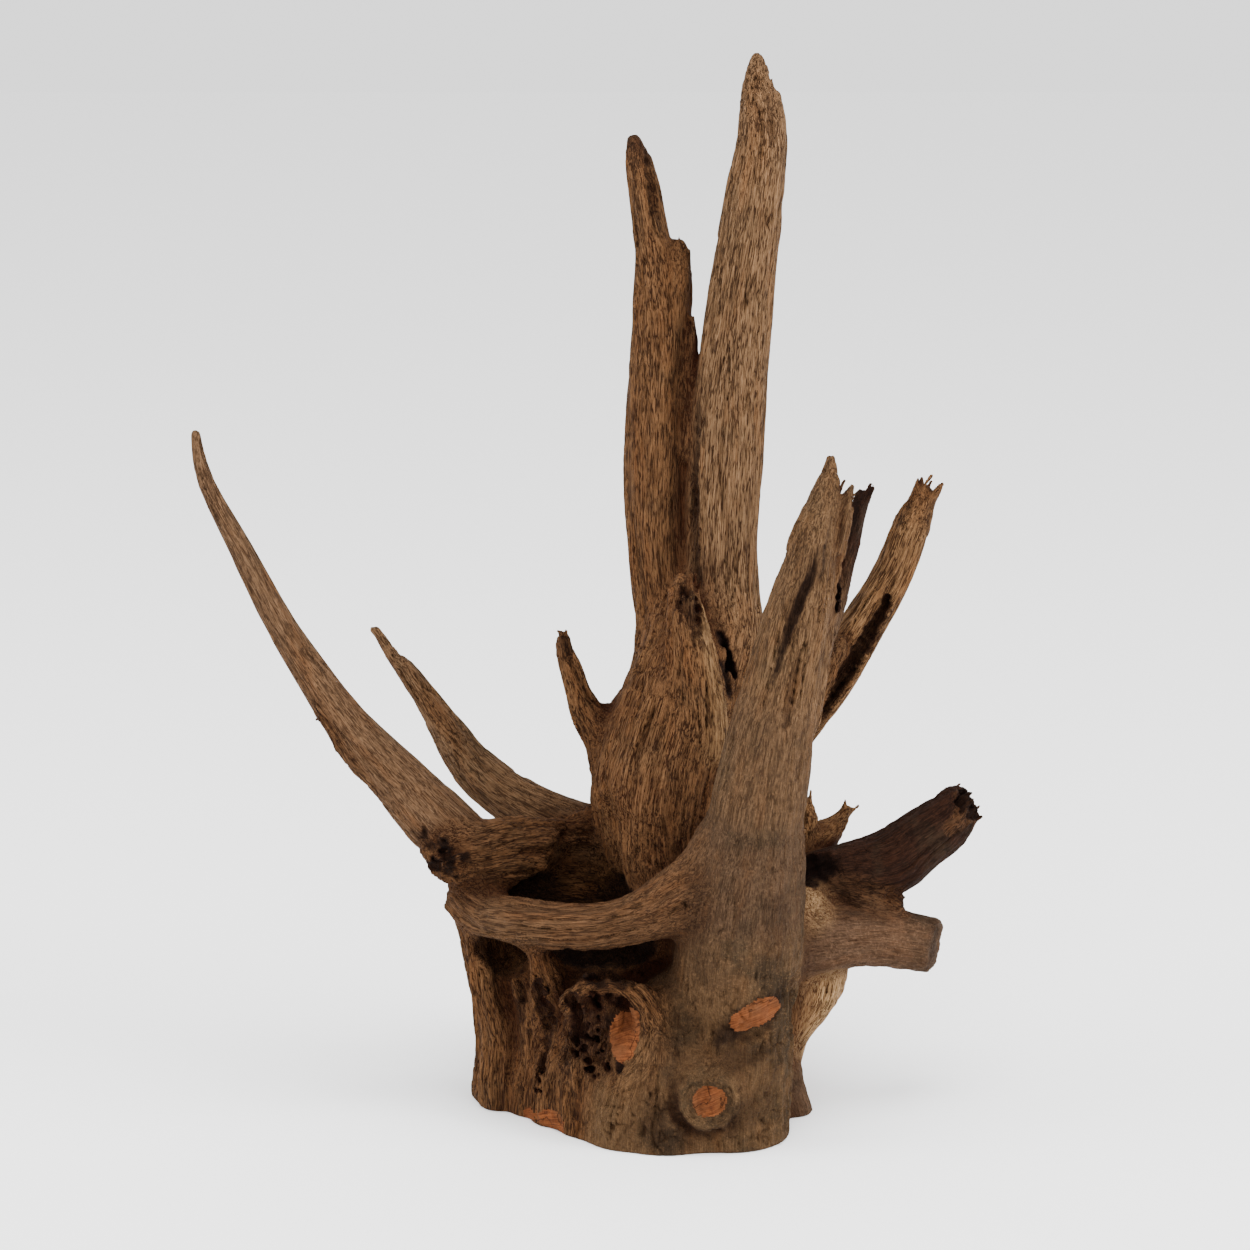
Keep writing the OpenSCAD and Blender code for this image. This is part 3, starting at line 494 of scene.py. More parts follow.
def grow_wood():
    """Distance grid of the wood, the number of the piece each point belongs to, and how much painted shade
    and stain darken the wood there."""
    wood = np.full(GRID_SIZE, REACH, np.float32)
    nearest = wood.copy()
    label = np.zeros(GRID_SIZE, np.uint8)
    stain = np.zeros(GRID_SIZE, np.float16)

    def grow(limbs, reach):
        for node, _, blend, stations in limbs:
            where, field = limb_field(stations, reach)
            wood[where] = smooth_min(wood[where], field, blend)
            near, own = nearest[where], label[where]
            closer = field < near
            near[closer] = field[closer]
            own[closer] = PIECES.index(node) + 1

    def darken(where, shade):
        stain[where] = np.maximum(stain[where], shade.astype(np.float16))

    grow(LIMBS, REACH)
    for blend, ragged, dark, stations in HOLLOWS:
        where, field = limb_field(stations, HOLLOW_REACH)
        field = field + ragged * ripple(where)
        wood[where] = smooth_max(wood[where], -field, blend)
        # painted shade on the wood inside the hollow
        darken(where, dark * np.clip(1.2 - field, 0, 1))
    # dark patches: stains and painted shade
    for dark, stations in PAINTED_SHADE_AND_STAINS:
        where, field = limb_field(stations, SHADE_AND_STAIN_REACH)
        darken(where, dark * np.clip(0.5 - (field + 1.5 * ripple(where)) / 6, 0, 1))
    grow(TONGUE, REACH)
    grow(FIBRES, FIBRE_REACH)
    for point, facing, centre, radius in SAW_CUTS:
        centre, way = np.array(centre, float), np.array(facing) / np.linalg.norm(facing)
        where, (x, y, z) = block_of(centre - radius - SAW_REACH, centre + radius + SAW_REACH)
        plane = (x - point[0]) * way[0] + (y - point[1]) * way[1] + (z - point[2]) * way[2]
        ball = np.sqrt((x - centre[0]) ** 2 + (y - centre[1]) ** 2 + (z - centre[2]) ** 2) - radius
        cut = plane - 2 * np.maximum(ball + SAW_FADE, 0)
        wood[where] = smooth_max(wood[where], cut.astype(np.float32), SAW_ROUNDING)
    for node, stations in HEARTS:
        where, field = limb_field(stations, HEART_REACH)
        own = label[where]
        own[field < 0] = PIECES.index(node) + 1
    z = (GRID_LOW[2] + VOXEL * np.arange(GRID_SIZE[2])).astype(np.float32)
    np.maximum(wood, -z[None, None, :], out=wood)
    label[wood >= 0] = 0
    return wood, label, stain


def mesh_of(wood, label):
    """Skin and inner walls of all pieces on one set of points.

    Every grid edge between two different numbers (0 is air) makes one face; the points lie one
    to a grid cell. Returns the points in millimetres, the faces, the piece each face bounds
    (faces look out of their piece), and which faces are skin."""
    strides = np.array([wood.shape[1] * wood.shape[2], wood.shape[2], 1], np.int64)
    faces, owners, skins, cells, marks, weights = [], [], [], [], [], []
    for axis in range(3):
        low = [slice(None)] * 3
        high = [slice(None)] * 3
        low[axis], high[axis] = slice(0, -1), slice(1, None)
        low, high = tuple(low), tuple(high)
        here = np.stack(np.nonzero(label[low] != label[high]), 1)
        step = np.zeros(3, np.int64)
        step[axis] = 1
        flat = here @ strides
        own, other = label.ravel()[flat], label.ravel()[flat + strides[axis]]
        d0 = wood.ravel()[flat].astype(float)
        d1 = wood.ravel()[flat + strides[axis]].astype(float)
        skin = (own == 0) | (other == 0)
        share = np.where(skin, d0 / np.where(skin, d0 - d1, 1), 0.5)
        crossing = here + share[:, None] * step
        side_b, side_c = strides[(axis + 1) % 3], strides[(axis + 2) % 3]
        quad = np.stack([flat, flat - side_b, flat - side_b - side_c, flat - side_c], 1)
        for number, flip in ((own, False), (other, True)):
            use = number > 0
            faces.append(quad[use][:, ::-1] if flip else quad[use])
            owners.append(number[use])
            skins.append(skin[use])
        cells.append(quad)
        marks.append(crossing)
        weights.append(np.where(skin, 1.0, 1e-6))
    quads = np.concatenate(faces)
    cells, marks, weights = (np.concatenate(v) for v in (cells, marks, weights))
    used, number = np.unique(cells, return_inverse=True)
    number = number.reshape(cells.shape)
    total = np.zeros(len(used))
    points = np.zeros((len(used), 3))
    for corner in range(4):
        total += np.bincount(number[:, corner], weights, len(used))
        for axis in range(3):
            points[:, axis] += np.bincount(number[:, corner], weights * marks[:, axis], len(used))
    points = points / total[:, None] * VOXEL + GRID_LOW
    return points, np.searchsorted(used, quads), np.concatenate(owners), np.concatenate(skins)


# ---------------------------------------------------------------- noise

rng = np.random.default_rng(7)
PERM = rng.permutation(256)
PERM = np.concatenate([PERM, PERM, PERM]).astype(np.int32)
GRADIENTS = rng.normal(size=(256, 3))
GRADIENTS = (GRADIENTS / np.linalg.norm(GRADIENTS, axis=1)[:, None]).astype(np.float32)


def noise(p, seed):
    """Gradient noise, about -1 to 1, at an array of points."""
    p = np.asarray(p, np.float32) + np.float32(seed * 17.31)
    cell = np.floor(p).astype(np.int32)
    f = p - cell
    u = f * f * f * (f * (f * 6 - 15) + 10)
    c = cell & 255
    total = 0
    for i in (0, 1):
        wx = u[:, 0] if i else 1 - u[:, 0]
        hx = PERM[c[:, 0] + i]
        for j in (0, 1):
            wy = wx * (u[:, 1] if j else 1 - u[:, 1])
            hy = PERM[hx + c[:, 1] + j]
            for m in (0, 1):
                w = wy * (u[:, 2] if m else 1 - u[:, 2])
                g = GRADIENTS[PERM[hy + c[:, 2] + m]]
                d = (g[:, 0] * (f[:, 0] - i) + g[:, 1] * (f[:, 1] - j) + g[:, 2] * (f[:, 2] - m))
                total = total + w * d
    return total * 1.6


# ---------------------------------------------------------------- grain

# How wide the grain of two limbs runs together, how far from a limb's skin its grain reaches, and
# how far apart the grain of different limbs starts.
BLEND_WIDTH = 9.0
GRAIN_REACH = 16.0
FIBRE_GRAIN_REACH = 3.0
GRAIN_APART = 37.0


def frames_along(q):
    """Arc length and a twist-free pair of side axes at every point of a curve."""
    centre = q[:, :3]
    step = np.diff(centre, axis=0)
    length = np.linalg.norm(step, axis=1)
    arc = np.concatenate([[0], np.cumsum(length)])
    tangent = np.vstack([step, step[-1:]]) / np.concatenate([length, length[-1:]])[:, None]
    side = np.cross(tangent[0], [0.31, 0.94, 0.12])
    sides = []
    for t in tangent:
        side = side - t * (side @ t)
        side = side / np.linalg.norm(side)
        sides.append(side)
    sides = np.array(sides)
    return arc, sides, np.cross(tangent, sides)


def grain_of(points, stations, reach):
    """Which points lie near a limb, their distance to it, and their grain coordinates:
    two across the limb and one along it, in millimetres."""
    q = curve(stations)
    rad = q[:, 3:4] + reach
    low, high = (q[:, :3] - rad).min(0), (q[:, :3] + rad).max(0)
    near = np.nonzero(((points > low) & (points < high)).all(1))[0]
    p = points[near]
    arc, side, up = frames_along(q)
    best = np.full(len(p), 1e9)
    grain = np.zeros((len(p), 3))
    for i in range(len(q) - 1):
        a, b = q[i], q[i + 1]
        ab = b[:3] - a[:3]
        t_open = ((p - a[:3]) @ ab) / (ab @ ab)
        t = np.clip(t_open, 0, 1)
        offset = p - a[:3] - t[:, None] * ab
        d = np.linalg.norm(offset, axis=1) - (a[3] + t * (b[3] - a[3]))
        closer = d < best
        best = np.where(closer, d, best)
        wide_t = t.copy()
        if i == 0:
            wide_t = np.minimum(t_open, 1)
        if i == len(q) - 2:
            wide_t = np.maximum(wide_t, t_open)
        s = arc[i] + wide_t * (arc[i + 1] - arc[i])
        offset = p - a[:3] - wide_t[:, None] * ab
        mix = t[:, None]
        e1 = side[i] * (1 - mix) + side[i + 1] * mix
        e2 = up[i] * (1 - mix) + up[i + 1] * mix
        g = np.stack([(offset * e1).sum(1), (offset * e2).sum(1), s], 1)
        grain[closer] = g[closer]
    keep = best < reach
    return near[keep], best[keep], grain[keep]


def furrows(g, kind, seed):
    """Height of the wood skin from its grain coordinates, and how deep in a groove it lies."""
    across = g[:, :2]
    along = g[:, 2:3]
    warp = noise(np.hstack([across / 14, along / 60]), seed + 5)[:, None] * 2.5
    flutes = noise(np.hstack([across / 10, along / 90]), seed + 1)
    wide = noise(np.hstack([(across + warp) / 3.6, along / 40]), seed + 2)
    fine = noise(np.hstack([(across + warp) / 1.7, along / 20]), seed + 3)
    ridge = 1 - np.abs(noise(np.hstack([(across + warp) / 4.6, along / 60]), seed + 4)) * 7
    crack = np.clip(ridge, 0, 1) ** 3 * np.clip(noise(g / np.array([9, 9, 26]), seed + 7) + 0.45, 0, 1)
    bent = g + 1.5 * noise(g / 5, seed + 9)[:, None]
    lumps = noise(bent / 6.5, seed + 6)
    crumbs = np.clip(1 - np.abs(noise(bent / np.array([4.2, 4.2, 6.5]), seed + 8)) * 6, 0, 1)
    crumbs = crumbs * np.clip(noise(g / 8, seed + 10) + 0.5, 0, 1)
    height = (1.2 * flutes + 0.8 * wide + 0.5 * fine - 2.0 * crack) * kind["relief"]
    height = height + kind["rot"] * (1.6 * lumps - 2.2 * crumbs)
    # groove: how deep a point lies in a furrow, crack or crumbled rot; the material paints shade there with
    # it
    furrowed = crack * 1.1 + np.clip(-wide, 0, 1) * 0.6 + np.clip(-fine, 0, 1) * 0.7
    groove = np.clip(furrowed * (0.3 + 0.7 * kind["fibre"]) + kind["rot"] * crumbs * 1.4, 0, 1)
    return height, groove


# ---------------------------------------------------------------- skin


def normals_of(points, quads):
    a = points[quads[:, 0]] - points[quads[:, 2]]
    b = points[quads[:, 1]] - points[quads[:, 3]]
    face = np.cross(a, b)
    out = np.zeros_like(points)
    for corner in range(4):
        for axis in range(3):
            out[:, axis] += np.bincount(quads[:, corner], face[:, axis], len(points))
    return out / (np.linalg.norm(out, axis=1)[:, None] + 1e-12)


def relax(points, quads, rounds, amount, loose):
    """Evens out the stair steps of the grid at the loose points."""
    count = np.zeros(len(points))
    for corner in range(4):
        count += np.bincount(quads[:, corner], minlength=len(points)) * 2
    for _ in range(rounds):
        total = np.zeros_like(points)
        for corner in range(4):
            for other in (quads[:, (corner + 1) % 4], quads[:, (corner + 3) % 4]):
                for axis in range(3):
                    total[:, axis] += np.bincount(quads[:, corner], points[other, axis],
                                                  len(points))
        target = total / np.maximum(count, 1)[:, None]
        points = points + amount * (target - points) * loose[:, None]
    return points


def sample(wood, points):
    """Grid value at points, linear between grid points."""
    p = (points - GRID_LOW) / VOXEL
    p = np.clip(p, 0, np.array(wood.shape) - 1.001)
    i = np.floor(p).astype(int)
    f = p - i
    total = 0
    for dx in (0, 1):
        for dy in (0, 1):
            for dz in (0, 1):
                w = ((f[:, 0] if dx else 1 - f[:, 0]) * (f[:, 1] if dy else 1 - f[:, 1])
                     * (f[:, 2] if dz else 1 - f[:, 2]))
                total = total + w * wood[i[:, 0] + dx, i[:, 1] + dy, i[:, 2] + dz]
    return total


def components(count, edges):
    """Number of the connected group of each of count items."""
    label = np.arange(count)
    a, b = edges[:, 0], edges[:, 1]
    while True:
        low = np.minimum(label[a], label[b])
        new = label.copy()
        np.minimum.at(new, label[a], low)
        np.minimum.at(new, label[b], low)
        np.minimum.at(new, a, low)
        np.minimum.at(new, b, low)
        while True:
            jump = new[new]
            if (jump == new).all():
                break
            new = jump
        if (new == label).all():
            return label
        label = new


def without_crumbs(points, quads):
    """Which faces belong to the one big body, not to a loose crumb."""
    edges = np.concatenate([quads[:, [i, (i + 1) % 4]] for i in range(4)])
    group = components(len(points), edges)[quads[:, 0]]
    return group == np.bincount(group).argmax()


def openness(points, normals, wood):
    """How open the skin lies, from 0 in a deep hollow to 1 on a free face; the materials paint shade from
    it.
    """
    side = np.cross(normals, [0.36, 0.48, 0.80])
    side /= np.linalg.norm(side, axis=1)[:, None] + 1e-9
    up = np.cross(normals, side)
    total = 0
    for out, spread in ((2.5, 2.0), (5, 4.5), (10, 9)):
        for a, b in ((1, 0), (-0.5, 0.87), (-0.5, -0.87)):
            there = points + out * normals + spread * (a * side + b * up)
            total = total + np.clip(sample(wood, there) / out, 0, 1)
    return total / 9


def near_limbs(points):
    """For every limb and fibre: the skin points near it, their distance and their grain."""
    return [grain_of(points, stations, GRAIN_REACH if blend > 1 else FIBRE_GRAIN_REACH)
            for _, _, blend, stations in ALL_LIMBS]


def two_nearest(count, per_limb):
    """Distance to, and numbers of, the nearest and the second nearest limb of every point."""
    best = [np.full(count, 1e9), np.full(count, 1e9)]
    limb = [np.zeros(count, int), np.zeros(count, int)]
    for number, (near, distance, _) in enumerate(per_limb):
        first = distance < best[0][near]
        i = near[first]
        best[1][i], limb[1][i] = best[0][i], limb[0][i]
        best[0][i], limb[0][i] = distance[first], number
        second = ~first & (distance < best[1][near])
        i = near[second]
        best[1][i], limb[1][i] = distance[second], number
    lone = best[1] > 1e8
    limb[1][lone] = limb[0][lone]
    return best[0], limb


def grain_at_corners(quads, limb, per_limb, count):
    """Grain from both of a face's nearest limbs at its corners, and the share of the second.

    Both limbs are those of the face's first corner, so a face never mixes two routes."""
    place = np.full(count, -1)
    grains, distances = [], []
    for choice in limb:
        wanted = choice[quads[:, 0]]
        grain = np.zeros(quads.shape + (3,), np.float32)
        away = np.full(quads.shape, 1e3, np.float32)
        for number, (near, distance, own) in enumerate(per_limb):
            rows = np.nonzero(wanted == number)[0]
            if not len(rows) or not len(near):
                continue
            place[near] = np.arange(len(near))
            at = place[quads[rows]]
            at = np.where(at < 0, at[:, :1], at)
            grain[rows] = own[at] + number * GRAIN_APART
            away[rows] = distance[at]
            place[near] = -1
        grains.append(grain)
        distances.append(away)
    lead = (distances[1] - distances[0]) / BLEND_WIDTH
    t = np.clip(np.abs(lead), 0, 1)
    t = 0.5 * (1 - t * t * (3 - 2 * t))
    return grains[0], grains[1], np.where(lead < 0, 1 - t, t)


def dress_skin(points, quads, wood, stain, normals):
    """Relief, colour and grain of the skin, by point and by face corner."""
    n = len(points)
    per_limb = near_limbs(points)
    nearest, limb = two_nearest(n, per_limb)
    total = np.zeros(n)
    sums = {name: np.zeros(n) for name in ("height", "groove", "rot", "fibre")}
    tint = np.zeros((n, 3))
    for number, (near, distance, grain) in enumerate(per_limb):
        kind = ALL_LIMBS[number][1]
        w = np.exp(-((distance - nearest[near]) / (BLEND_WIDTH * 0.4)) ** 2)
        use = w > 0.02
        near, w = near[use], w[use]
        h, g = furrows(grain[use], kind, number * 3)
        total[near] += w
        for name, value in (("height", h), ("groove", g), ("rot", kind["rot"]),
                            ("fibre", kind["fibre"])):
            sums[name][near] += w * value
        tint[near] += w[:, None] * np.array(kind["tint"])
    total = np.maximum(total, 1e-6)
    points_of = {name: values / total for name, values in sums.items()}
    points_of["tint"] = tint / total[:, None]
    points_of["open"] = openness(points, normals, wood)
    points_of["stain"] = np.clip(sample(stain, points), 0, 1)
    grain_a, grain_b, mix = grain_at_corners(quads, limb, per_limb, n)
    return points_of, {"grain_a": grain_a, "grain_b": grain_b, "mix": mix}


# ---------------------------------------------------------------- pieces


LAYER_KEYS = {"FLOAT": "value", "BOOLEAN": "value", "FLOAT_VECTOR": "vector", "FLOAT_COLOR": "color"}


def add_layer(mesh, name, kind, domain, values):
    mesh.attributes.new(name, kind, domain).data.foreach_set(LAYER_KEYS[kind], values.ravel())


def make_piece(name, points, normals, skin, grain, quads, is_skin, material):
    """One closed piece: its share of the skin with that skin's grain, and its inner walls."""
    used, faces = np.unique(np.concatenate([quads[is_skin], quads[~is_skin]]), return_inverse=True)
    faces = faces.reshape(-1, 4)
    mesh = bpy.data.meshes.new(name)
    mesh.vertices.add(len(used))
    mesh.vertices.foreach_set("co", (points[used] * MM).astype(np.float32).ravel())
    mesh.loops.add(faces.size)
    mesh.loops.foreach_set("vertex_index", faces.astype(np.int32).ravel())
    mesh.polygons.add(len(faces))
    mesh.polygons.foreach_set("loop_start", np.arange(0, faces.size, 4, dtype=np.int32))
    mesh.polygons.foreach_set("loop_total", np.full(len(faces), 4, np.int32))
    mesh.update(calc_edges=True)
    mesh.polygons.foreach_set("use_smooth", np.ones(len(faces), bool))
    for label in ("groove", "rot", "fibre", "open", "stain"):
        add_layer(mesh, label, "FLOAT", "POINT", skin[label][used].astype(np.float32))
    skin_corners = int(is_skin.sum()) * 4
    for label, values in grain.items():
        width = values.shape[2] if values.ndim == 3 else 1
        corners = np.zeros((faces.size, width), np.float32)
        corners[:skin_corners] = values.reshape(-1, width)
        add_layer(mesh, label, "FLOAT_VECTOR" if width == 3 else "FLOAT", "CORNER", corners)
    tint = np.concatenate([skin["tint"][used], np.ones((len(used), 1))], 1)
    add_layer(mesh, "tint", "FLOAT_COLOR", "POINT", tint.astype(np.float32))
    edge_of = np.zeros(faces.size, np.int32)
    mesh.loops.foreach_get("edge_index", edge_of)
    on_skin, on_wall = np.zeros(len(mesh.edges), bool), np.zeros(len(mesh.edges), bool)
    on_skin[edge_of[:skin_corners]] = True
    on_wall[edge_of[skin_corners:]] = True
    add_layer(mesh, "sharp_edge", "BOOLEAN", "EDGE", on_skin & on_wall)
    corner = points[used][faces]
    flat = np.cross(corner[:, 0] - corner[:, 2], corner[:, 1] - corner[:, 3])
    flat = flat / (np.linalg.norm(flat, axis=1)[:, None] + 1e-12)
    smooth = normals[used][faces]
    smooth[is_skin.sum():] = flat[is_skin.sum():, None]
    mesh.normals_split_custom_set(smooth.reshape(-1, 3).astype(np.float32).tolist())
    mesh.materials.append(material)
    piece = bpy.data.objects.new(name, mesh)
    bpy.context.scene.collection.objects.link(piece)
    return piece


# ---------------------------------------------------------------- materials


class Graph:
    """Short way to write a material's nodes."""

    def __init__(self, name):
        self.material = bpy.data.materials.new(name)
        self.material.use_nodes = True
        self.tree = self.material.node_tree
        self.tree.nodes.clear()

    def add(self, kind, inputs=None, **settings):
        made = self.tree.nodes.new(kind)
        for key, value in settings.items():
            setattr(made, key, value)
        for key, value in (inputs or {}).items():
            if isinstance(value, bpy.types.NodeSocket):
                self.tree.links.new(value, made.inputs[key])
            else:
                made.inputs[key].default_value = value
        return made

    def attribute(self, name, output="Fac"):
        return self.add("ShaderNodeAttribute", attribute_name=name).outputs[output]

    def math(self, operation, a, b=0.0):
        return self.add("ShaderNodeMath", {0: a, 1: b}, operation=operation).outputs[0]

    def plus(self, a, b):
        return self.math("ADD", a, b)

    def minus(self, a, b):
        return self.math("SUBTRACT", a, b)

    def times(self, a, b):
        return self.math("MULTIPLY", a, b)

    def from_middle(self, value):
        """How far a noise lies from its middle value."""
        return self.math("ABSOLUTE", self.minus(value, 0.5))

    def mix(self, factor, a, b, blend="MIX"):
        return self.add("ShaderNodeMix", {0: factor, 6: a, 7: b}, data_type="RGBA",
                        blend_type=blend).outputs[2]

    def lerp(self, factor, a, b):
        return self.add("ShaderNodeMix", {0: factor, 2: a, 3: b}, data_type="FLOAT").outputs[0]

    def range(self, value, low, high, to_low=0.0, to_high=1.0):
        return self.add("ShaderNodeMapRange", {0: value, 1: low, 2: high, 3: to_low, 4: to_high}
                        ).outputs[0]

    def vector(self, operation, a, b, output=0):
        return self.add("ShaderNodeVectorMath", {0: a, 1: b}, operation=operation).outputs[output]

    def noise(self, place, scale, detail, roughness=0.5, distortion=0.0):
        return self.add("ShaderNodeTexNoise", {"Vector": place, "Scale": scale, "Detail": detail,
                                               "Roughness": roughness, "Distortion": distortion}
                        ).outputs["Fac"]

    def fibres(self, grain, across, along, detail, roughness=0.55, distortion=0.0):
        """Noise drawn out along the grain; across and along are its sizes in millimetres."""
        scaled = self.vector("MULTIPLY", grain, (1 / across, 1 / across, 1 / along))
        return self.noise(scaled, 1.0, detail, roughness, distortion)

    def show(self, shader):
        """Makes a shader the surface, and returns the material."""
        output = self.add("ShaderNodeOutputMaterial")
        self.tree.links.new(shader.outputs[0], output.inputs[0])
        return self.material

    def dry_wood(self, colour, roughness, height, strength, depth):
        """Material of dry wood with this relief: its strength, and its depth in metres."""
        bump = self.add("ShaderNodeBump", {"Strength": strength, "Distance": depth, "Height": height})
        shader = self.add("ShaderNodeBsdfPrincipled", {"Base Color": colour, "Roughness": roughness,
                                                       "Normal": bump.outputs[0]})
        shader.inputs["Specular IOR Level"].default_value = 0.06
        return self.show(shader)


def wood_material(name):
    g = Graph(name)
    grain_a, grain_b = (g.attribute(label, "Vector") for label in ("grain_a", "grain_b"))
    mix, groove, rot, opened, stain, fibre = (
        g.attribute(label) for label in ("mix", "groove", "rot", "open", "stain", "fibre"))
    own = g.attribute("tint", "Color")

    def blended(across, along, detail, **more):
        return g.lerp(mix, g.fibres(grain_a, across, along, detail, **more),
                      g.fibres(grain_b, across, along, detail, **more))

    def toned(red, green, blue):
        return g.mix(1.0, own, (red, green, blue, 1), "MULTIPLY")

    hair = blended(0.30, 9.0, 2.0)
    strand = blended(0.55, 14.0, 4.0, roughness=0.65)
    nick = blended(0.45, 6.0, 2.0)
    seam = blended(1.25, 22.0, 2.0, distortion=0.2)
    broken = blended(4.0, 12.0, 2.0)
    patch = blended(7.0, 40.0, 4.0)
    place = g.add("ShaderNodeTexCoord").outputs["Object"]
    cloud = g.noise(place, 30.0, 6.0, 0.65)
    mottle = g.noise(place, 170.0, 5.0, 0.7)
    speck = g.noise(place, 800.0, 3.0, 0.7)

    # cracks: short nicks and long broken seams, fainter on worn wood
    fibrous = g.range(fibre, 0.0, 0.9, 0.2, 1.0)
    line = g.range(g.from_middle(seam), 0.010, 0.040, 1.0, 0.0)
    line = g.times(line, g.range(broken, 0.40, 0.52))
    nicks = g.range(nick, 0.45, 0.38)
    cracks = g.times(g.math("MAXIMUM", nicks, line), fibrous)

    # the wood's own colour: strands, pale hairs, and warmer and greyed patches
    tone = g.lerp(fibrous, g.plus(g.times(mottle, 0.5), g.times(speck, 0.5)), strand)
    colour = g.mix(g.range(tone, 0.36, 0.64), toned(0.56, 0.52, 0.48), toned(1.36, 1.38, 1.40))
    colour = g.mix(g.range(hair, 0.47, 0.66, 0.0, 0.5), colour, toned(1.8, 1.85, 1.85))
    colour = g.mix(g.range(patch, 0.5, 0.7, 0.0, 0.5), colour, toned(1.1, 0.84, 0.62))
    colour = g.mix(g.range(cloud, 0.52, 0.68, 0.0, 0.25), colour, (0.060, 0.048, 0.028, 1))

    # worn wood: dark patina and pale flecks
    patina = g.times(g.range(cloud, 0.46, 0.60), g.range(fibrous, 0.25, 0.7, 0.7, 0.0))
    colour = g.mix(patina, colour, (0.024, 0.018, 0.010, 1))
    flecks = g.times(g.range(speck, 0.54, 0.66), g.range(fibrous, 0.25, 0.8, 0.5, 0.0))
    colour = g.mix(flecks, colour, toned(2.0, 2.0, 2.0))

    # painted shade in grooves, cracks and closed-in hollows, dark rot, and the dark patches of stains and
    # painted shade
    # painted shade in the grooves
    colour = g.mix(g.range(groove, 0.2, 1.0, 0.0, 0.85), colour, toned(0.26, 0.20, 0.15))
    # painted shade in the cracks
    colour = g.mix(g.times(cracks, 0.9), colour, toned(0.12, 0.08, 0.06))
    colour = g.mix(g.range(g.times(rot, speck), 0.35, 0.6, 0.0, 0.6), colour, toned(0.3, 0.2, 0.15))
    # painted shade where the skin lies closed in
    colour = g.mix(g.range(opened, 0.25, 0.95, 0.95, 0.0), colour, toned(0.20, 0.09, 0.05))
    # painted shade and stains, nearly black
    colour = g.mix(g.range(g.plus(stain, g.times(mottle, 0.3)), 0.25, 1.1, 0.0, 0.94), colour,
                   (0.007, 0.0024, 0.0012, 1))

    lines = g.plus(g.times(tone, 1.5), g.times(hair, 0.6))
    lines = g.minus(lines, g.times(cracks, 0.9))
    surface = g.plus(lines, g.times(speck, g.range(fibrous, 0.25, 0.8, 1.0, 0.35)))
    return g.dry_wood(colour, g.range(tone, 0.3, 0.7, 0.95, 0.78), surface, 1.0, 0.0022)


def heart_material(name):
    g = Graph(name)
    place = g.add("ShaderNodeTexCoord").outputs["Object"]
    opened = g.attribute("open")
    # saw marks, narrow across one slanting way and long along the other
    across = g.vector("DOT_PRODUCT", place, (-600.0, 0.0, 1650.0), "Value")
    along = g.vector("DOT_PRODUCT", place, (85.0, 0.0, 31.0), "Value")
    marks = g.noise(g.add("ShaderNodeCombineXYZ", {0: across, 1: along}).outputs[0], 1.0, 2.0)
    streak = g.lerp(0.55, g.noise(place, 260.0, 4.0, 0.65), marks)
    cloud = g.noise(place, 90.0, 3.0)
    crack = g.range(g.from_middle(g.noise(place, 55.0, 4.0, 0.55)), 0.0, 0.012, 1.0, 0.0)
    colour = g.mix(g.range(streak, 0.35, 0.65), (0.044, 0.013, 0.005, 1), (0.150, 0.047, 0.015, 1))
    colour = g.mix(g.range(cloud, 0.45, 0.7, 0.0, 0.7), colour, (0.075, 0.034, 0.015, 1))
    colour = g.mix(g.times(crack, 0.75), colour, (0.02, 0.008, 0.004, 1))
    # painted shade where the heartwood lies closed in
    colour = g.mix(g.range(opened, 0.05, 0.8, 0.7, 0.0), colour, (0.03, 0.008, 0.003, 1))
    return g.dry_wood(colour, g.range(streak, 0.3, 0.7, 0.9, 0.75), g.minus(streak, crack), 0.8, 0.0008)


SLOTS = {s["node"]: s["material_slot"] for s in frame["record"]["subparts"]}
MATERIALS = {slot: wood_material(slot) for slot in
             ("stump_wood", "trunk_wood", "grey_wood", "dark_wood", "pale_wood")}
MATERIALS["heartwood"] = heart_material("heartwood")


# ---------------------------------------------------------------- build


# The relief fades out over this height, so that the base stays flat.
BASE_FADE = 4.0


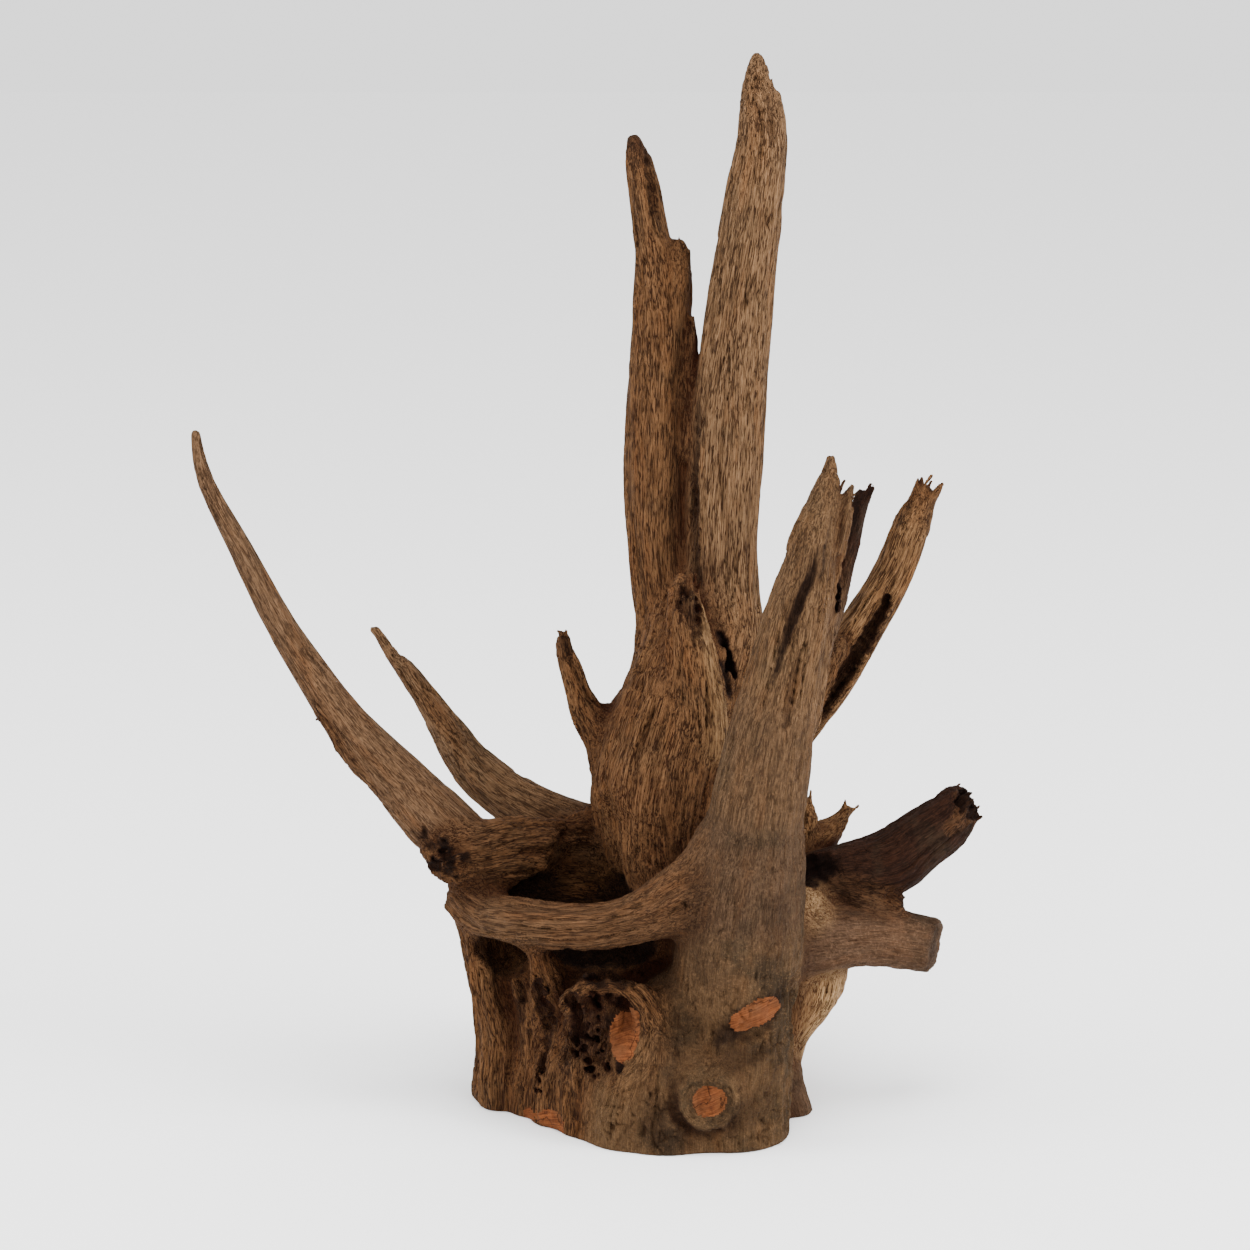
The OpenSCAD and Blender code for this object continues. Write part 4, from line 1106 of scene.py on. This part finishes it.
def build_wood():
    wood, label, stain = grow_wood()
    points, quads, owner, is_skin = mesh_of(wood, label)
    whole = without_crumbs(points, quads)
    quads, owner, is_skin = quads[whole], owner[whole], is_skin[whole]
    skin_quads = quads[is_skin]
    on_skin = np.zeros(len(points), bool)
    on_skin[skin_quads] = True
    outer = np.nonzero(on_skin)[0]
    renumber = np.zeros(len(points), int)
    renumber[outer] = np.arange(len(outer))
    shell = renumber[skin_quads]
    place = points[outer]
    base = place[:, 2] < 0.75 * VOXEL
    relaxed = relax(place, shell, rounds=3, amount=0.5, loose=np.ones(len(place)))
    relaxed[base, 2] = place[base, 2]
    normal = normals_of(relaxed, shell)
    dress, grain = dress_skin(relaxed, shell, wood, stain, normal)
    lift = np.clip(relaxed[:, 2] / BASE_FADE, 0, 1)
    relaxed = relaxed + normal * (dress["height"] * lift)[:, None]
    relaxed[:, 2] = np.maximum(relaxed[:, 2], 0)
    points[outer] = relaxed
    normals = np.zeros_like(points)
    normals[outer] = normals_of(relaxed, shell)
    skin = {}
    for name, values in dress.items():
        skin[name] = np.zeros((len(points),) + values.shape[1:])
        skin[name][outer] = values
    points = relax(points, quads[~is_skin], rounds=8, amount=0.6, loose=~on_skin)
    for number, name in enumerate(PIECES):
        mine = owner == number + 1
        on_shell = mine[is_skin]
        piece = make_piece("wood_" + name, points, normals, skin,
                           {label: values[on_shell] for label, values in grain.items()},
                           quads[mine], is_skin[mine], MATERIALS[SLOTS[name]])
        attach(piece, "root")
        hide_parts(name)


build_wood()

# ---------------------------------------------------------------- stage and light

FLOOR_SIZE = 6.0
SKY_STRENGTH = 1.7


def make_stage():
    bpy.ops.mesh.primitive_plane_add(size=FLOOR_SIZE, location=(0, 0, 0))
    floor = bpy.context.object
    floor.name = "floor"
    g = Graph("floor")
    shader = g.add("ShaderNodeBsdfPrincipled", {"Base Color": (0.95, 0.95, 0.95, 1), "Roughness": 0.9})
    floor.data.materials.append(g.show(shader))


def area_light(name, place, target, size, power):
    data = bpy.data.lights.new(name, "AREA")
    data.shape = "DISK"
    data.size = size
    data.energy = power
    light = bpy.data.objects.new(name, data)
    light.location = place
    aim = Vector(target) - Vector(place)
    light.rotation_euler = aim.to_track_quat("-Z", "Y").to_euler()
    bpy.context.scene.collection.objects.link(light)


def make_lights():
    world = bpy.data.worlds.new("studio")
    world.use_nodes = True
    sky = world.node_tree.nodes["Background"]
    sky.inputs[0].default_value = (1, 1, 1, 1)
    sky.inputs[1].default_value = SKY_STRENGTH
    bpy.context.scene.world = world
    middle = (0, 0, 0.2)
    area_light("right", (1.4, -0.5, 0.8), middle, 0.9, 34)
    area_light("left", (-1.4, -0.3, 0.9), middle, 0.9, 20)
    area_light("top", (0.1, -0.3, 1.9), middle, 0.9, 34)
    area_light("front", (-0.4, -1.7, 0.8), middle, 0.8, 12)


make_stage()
make_lights()
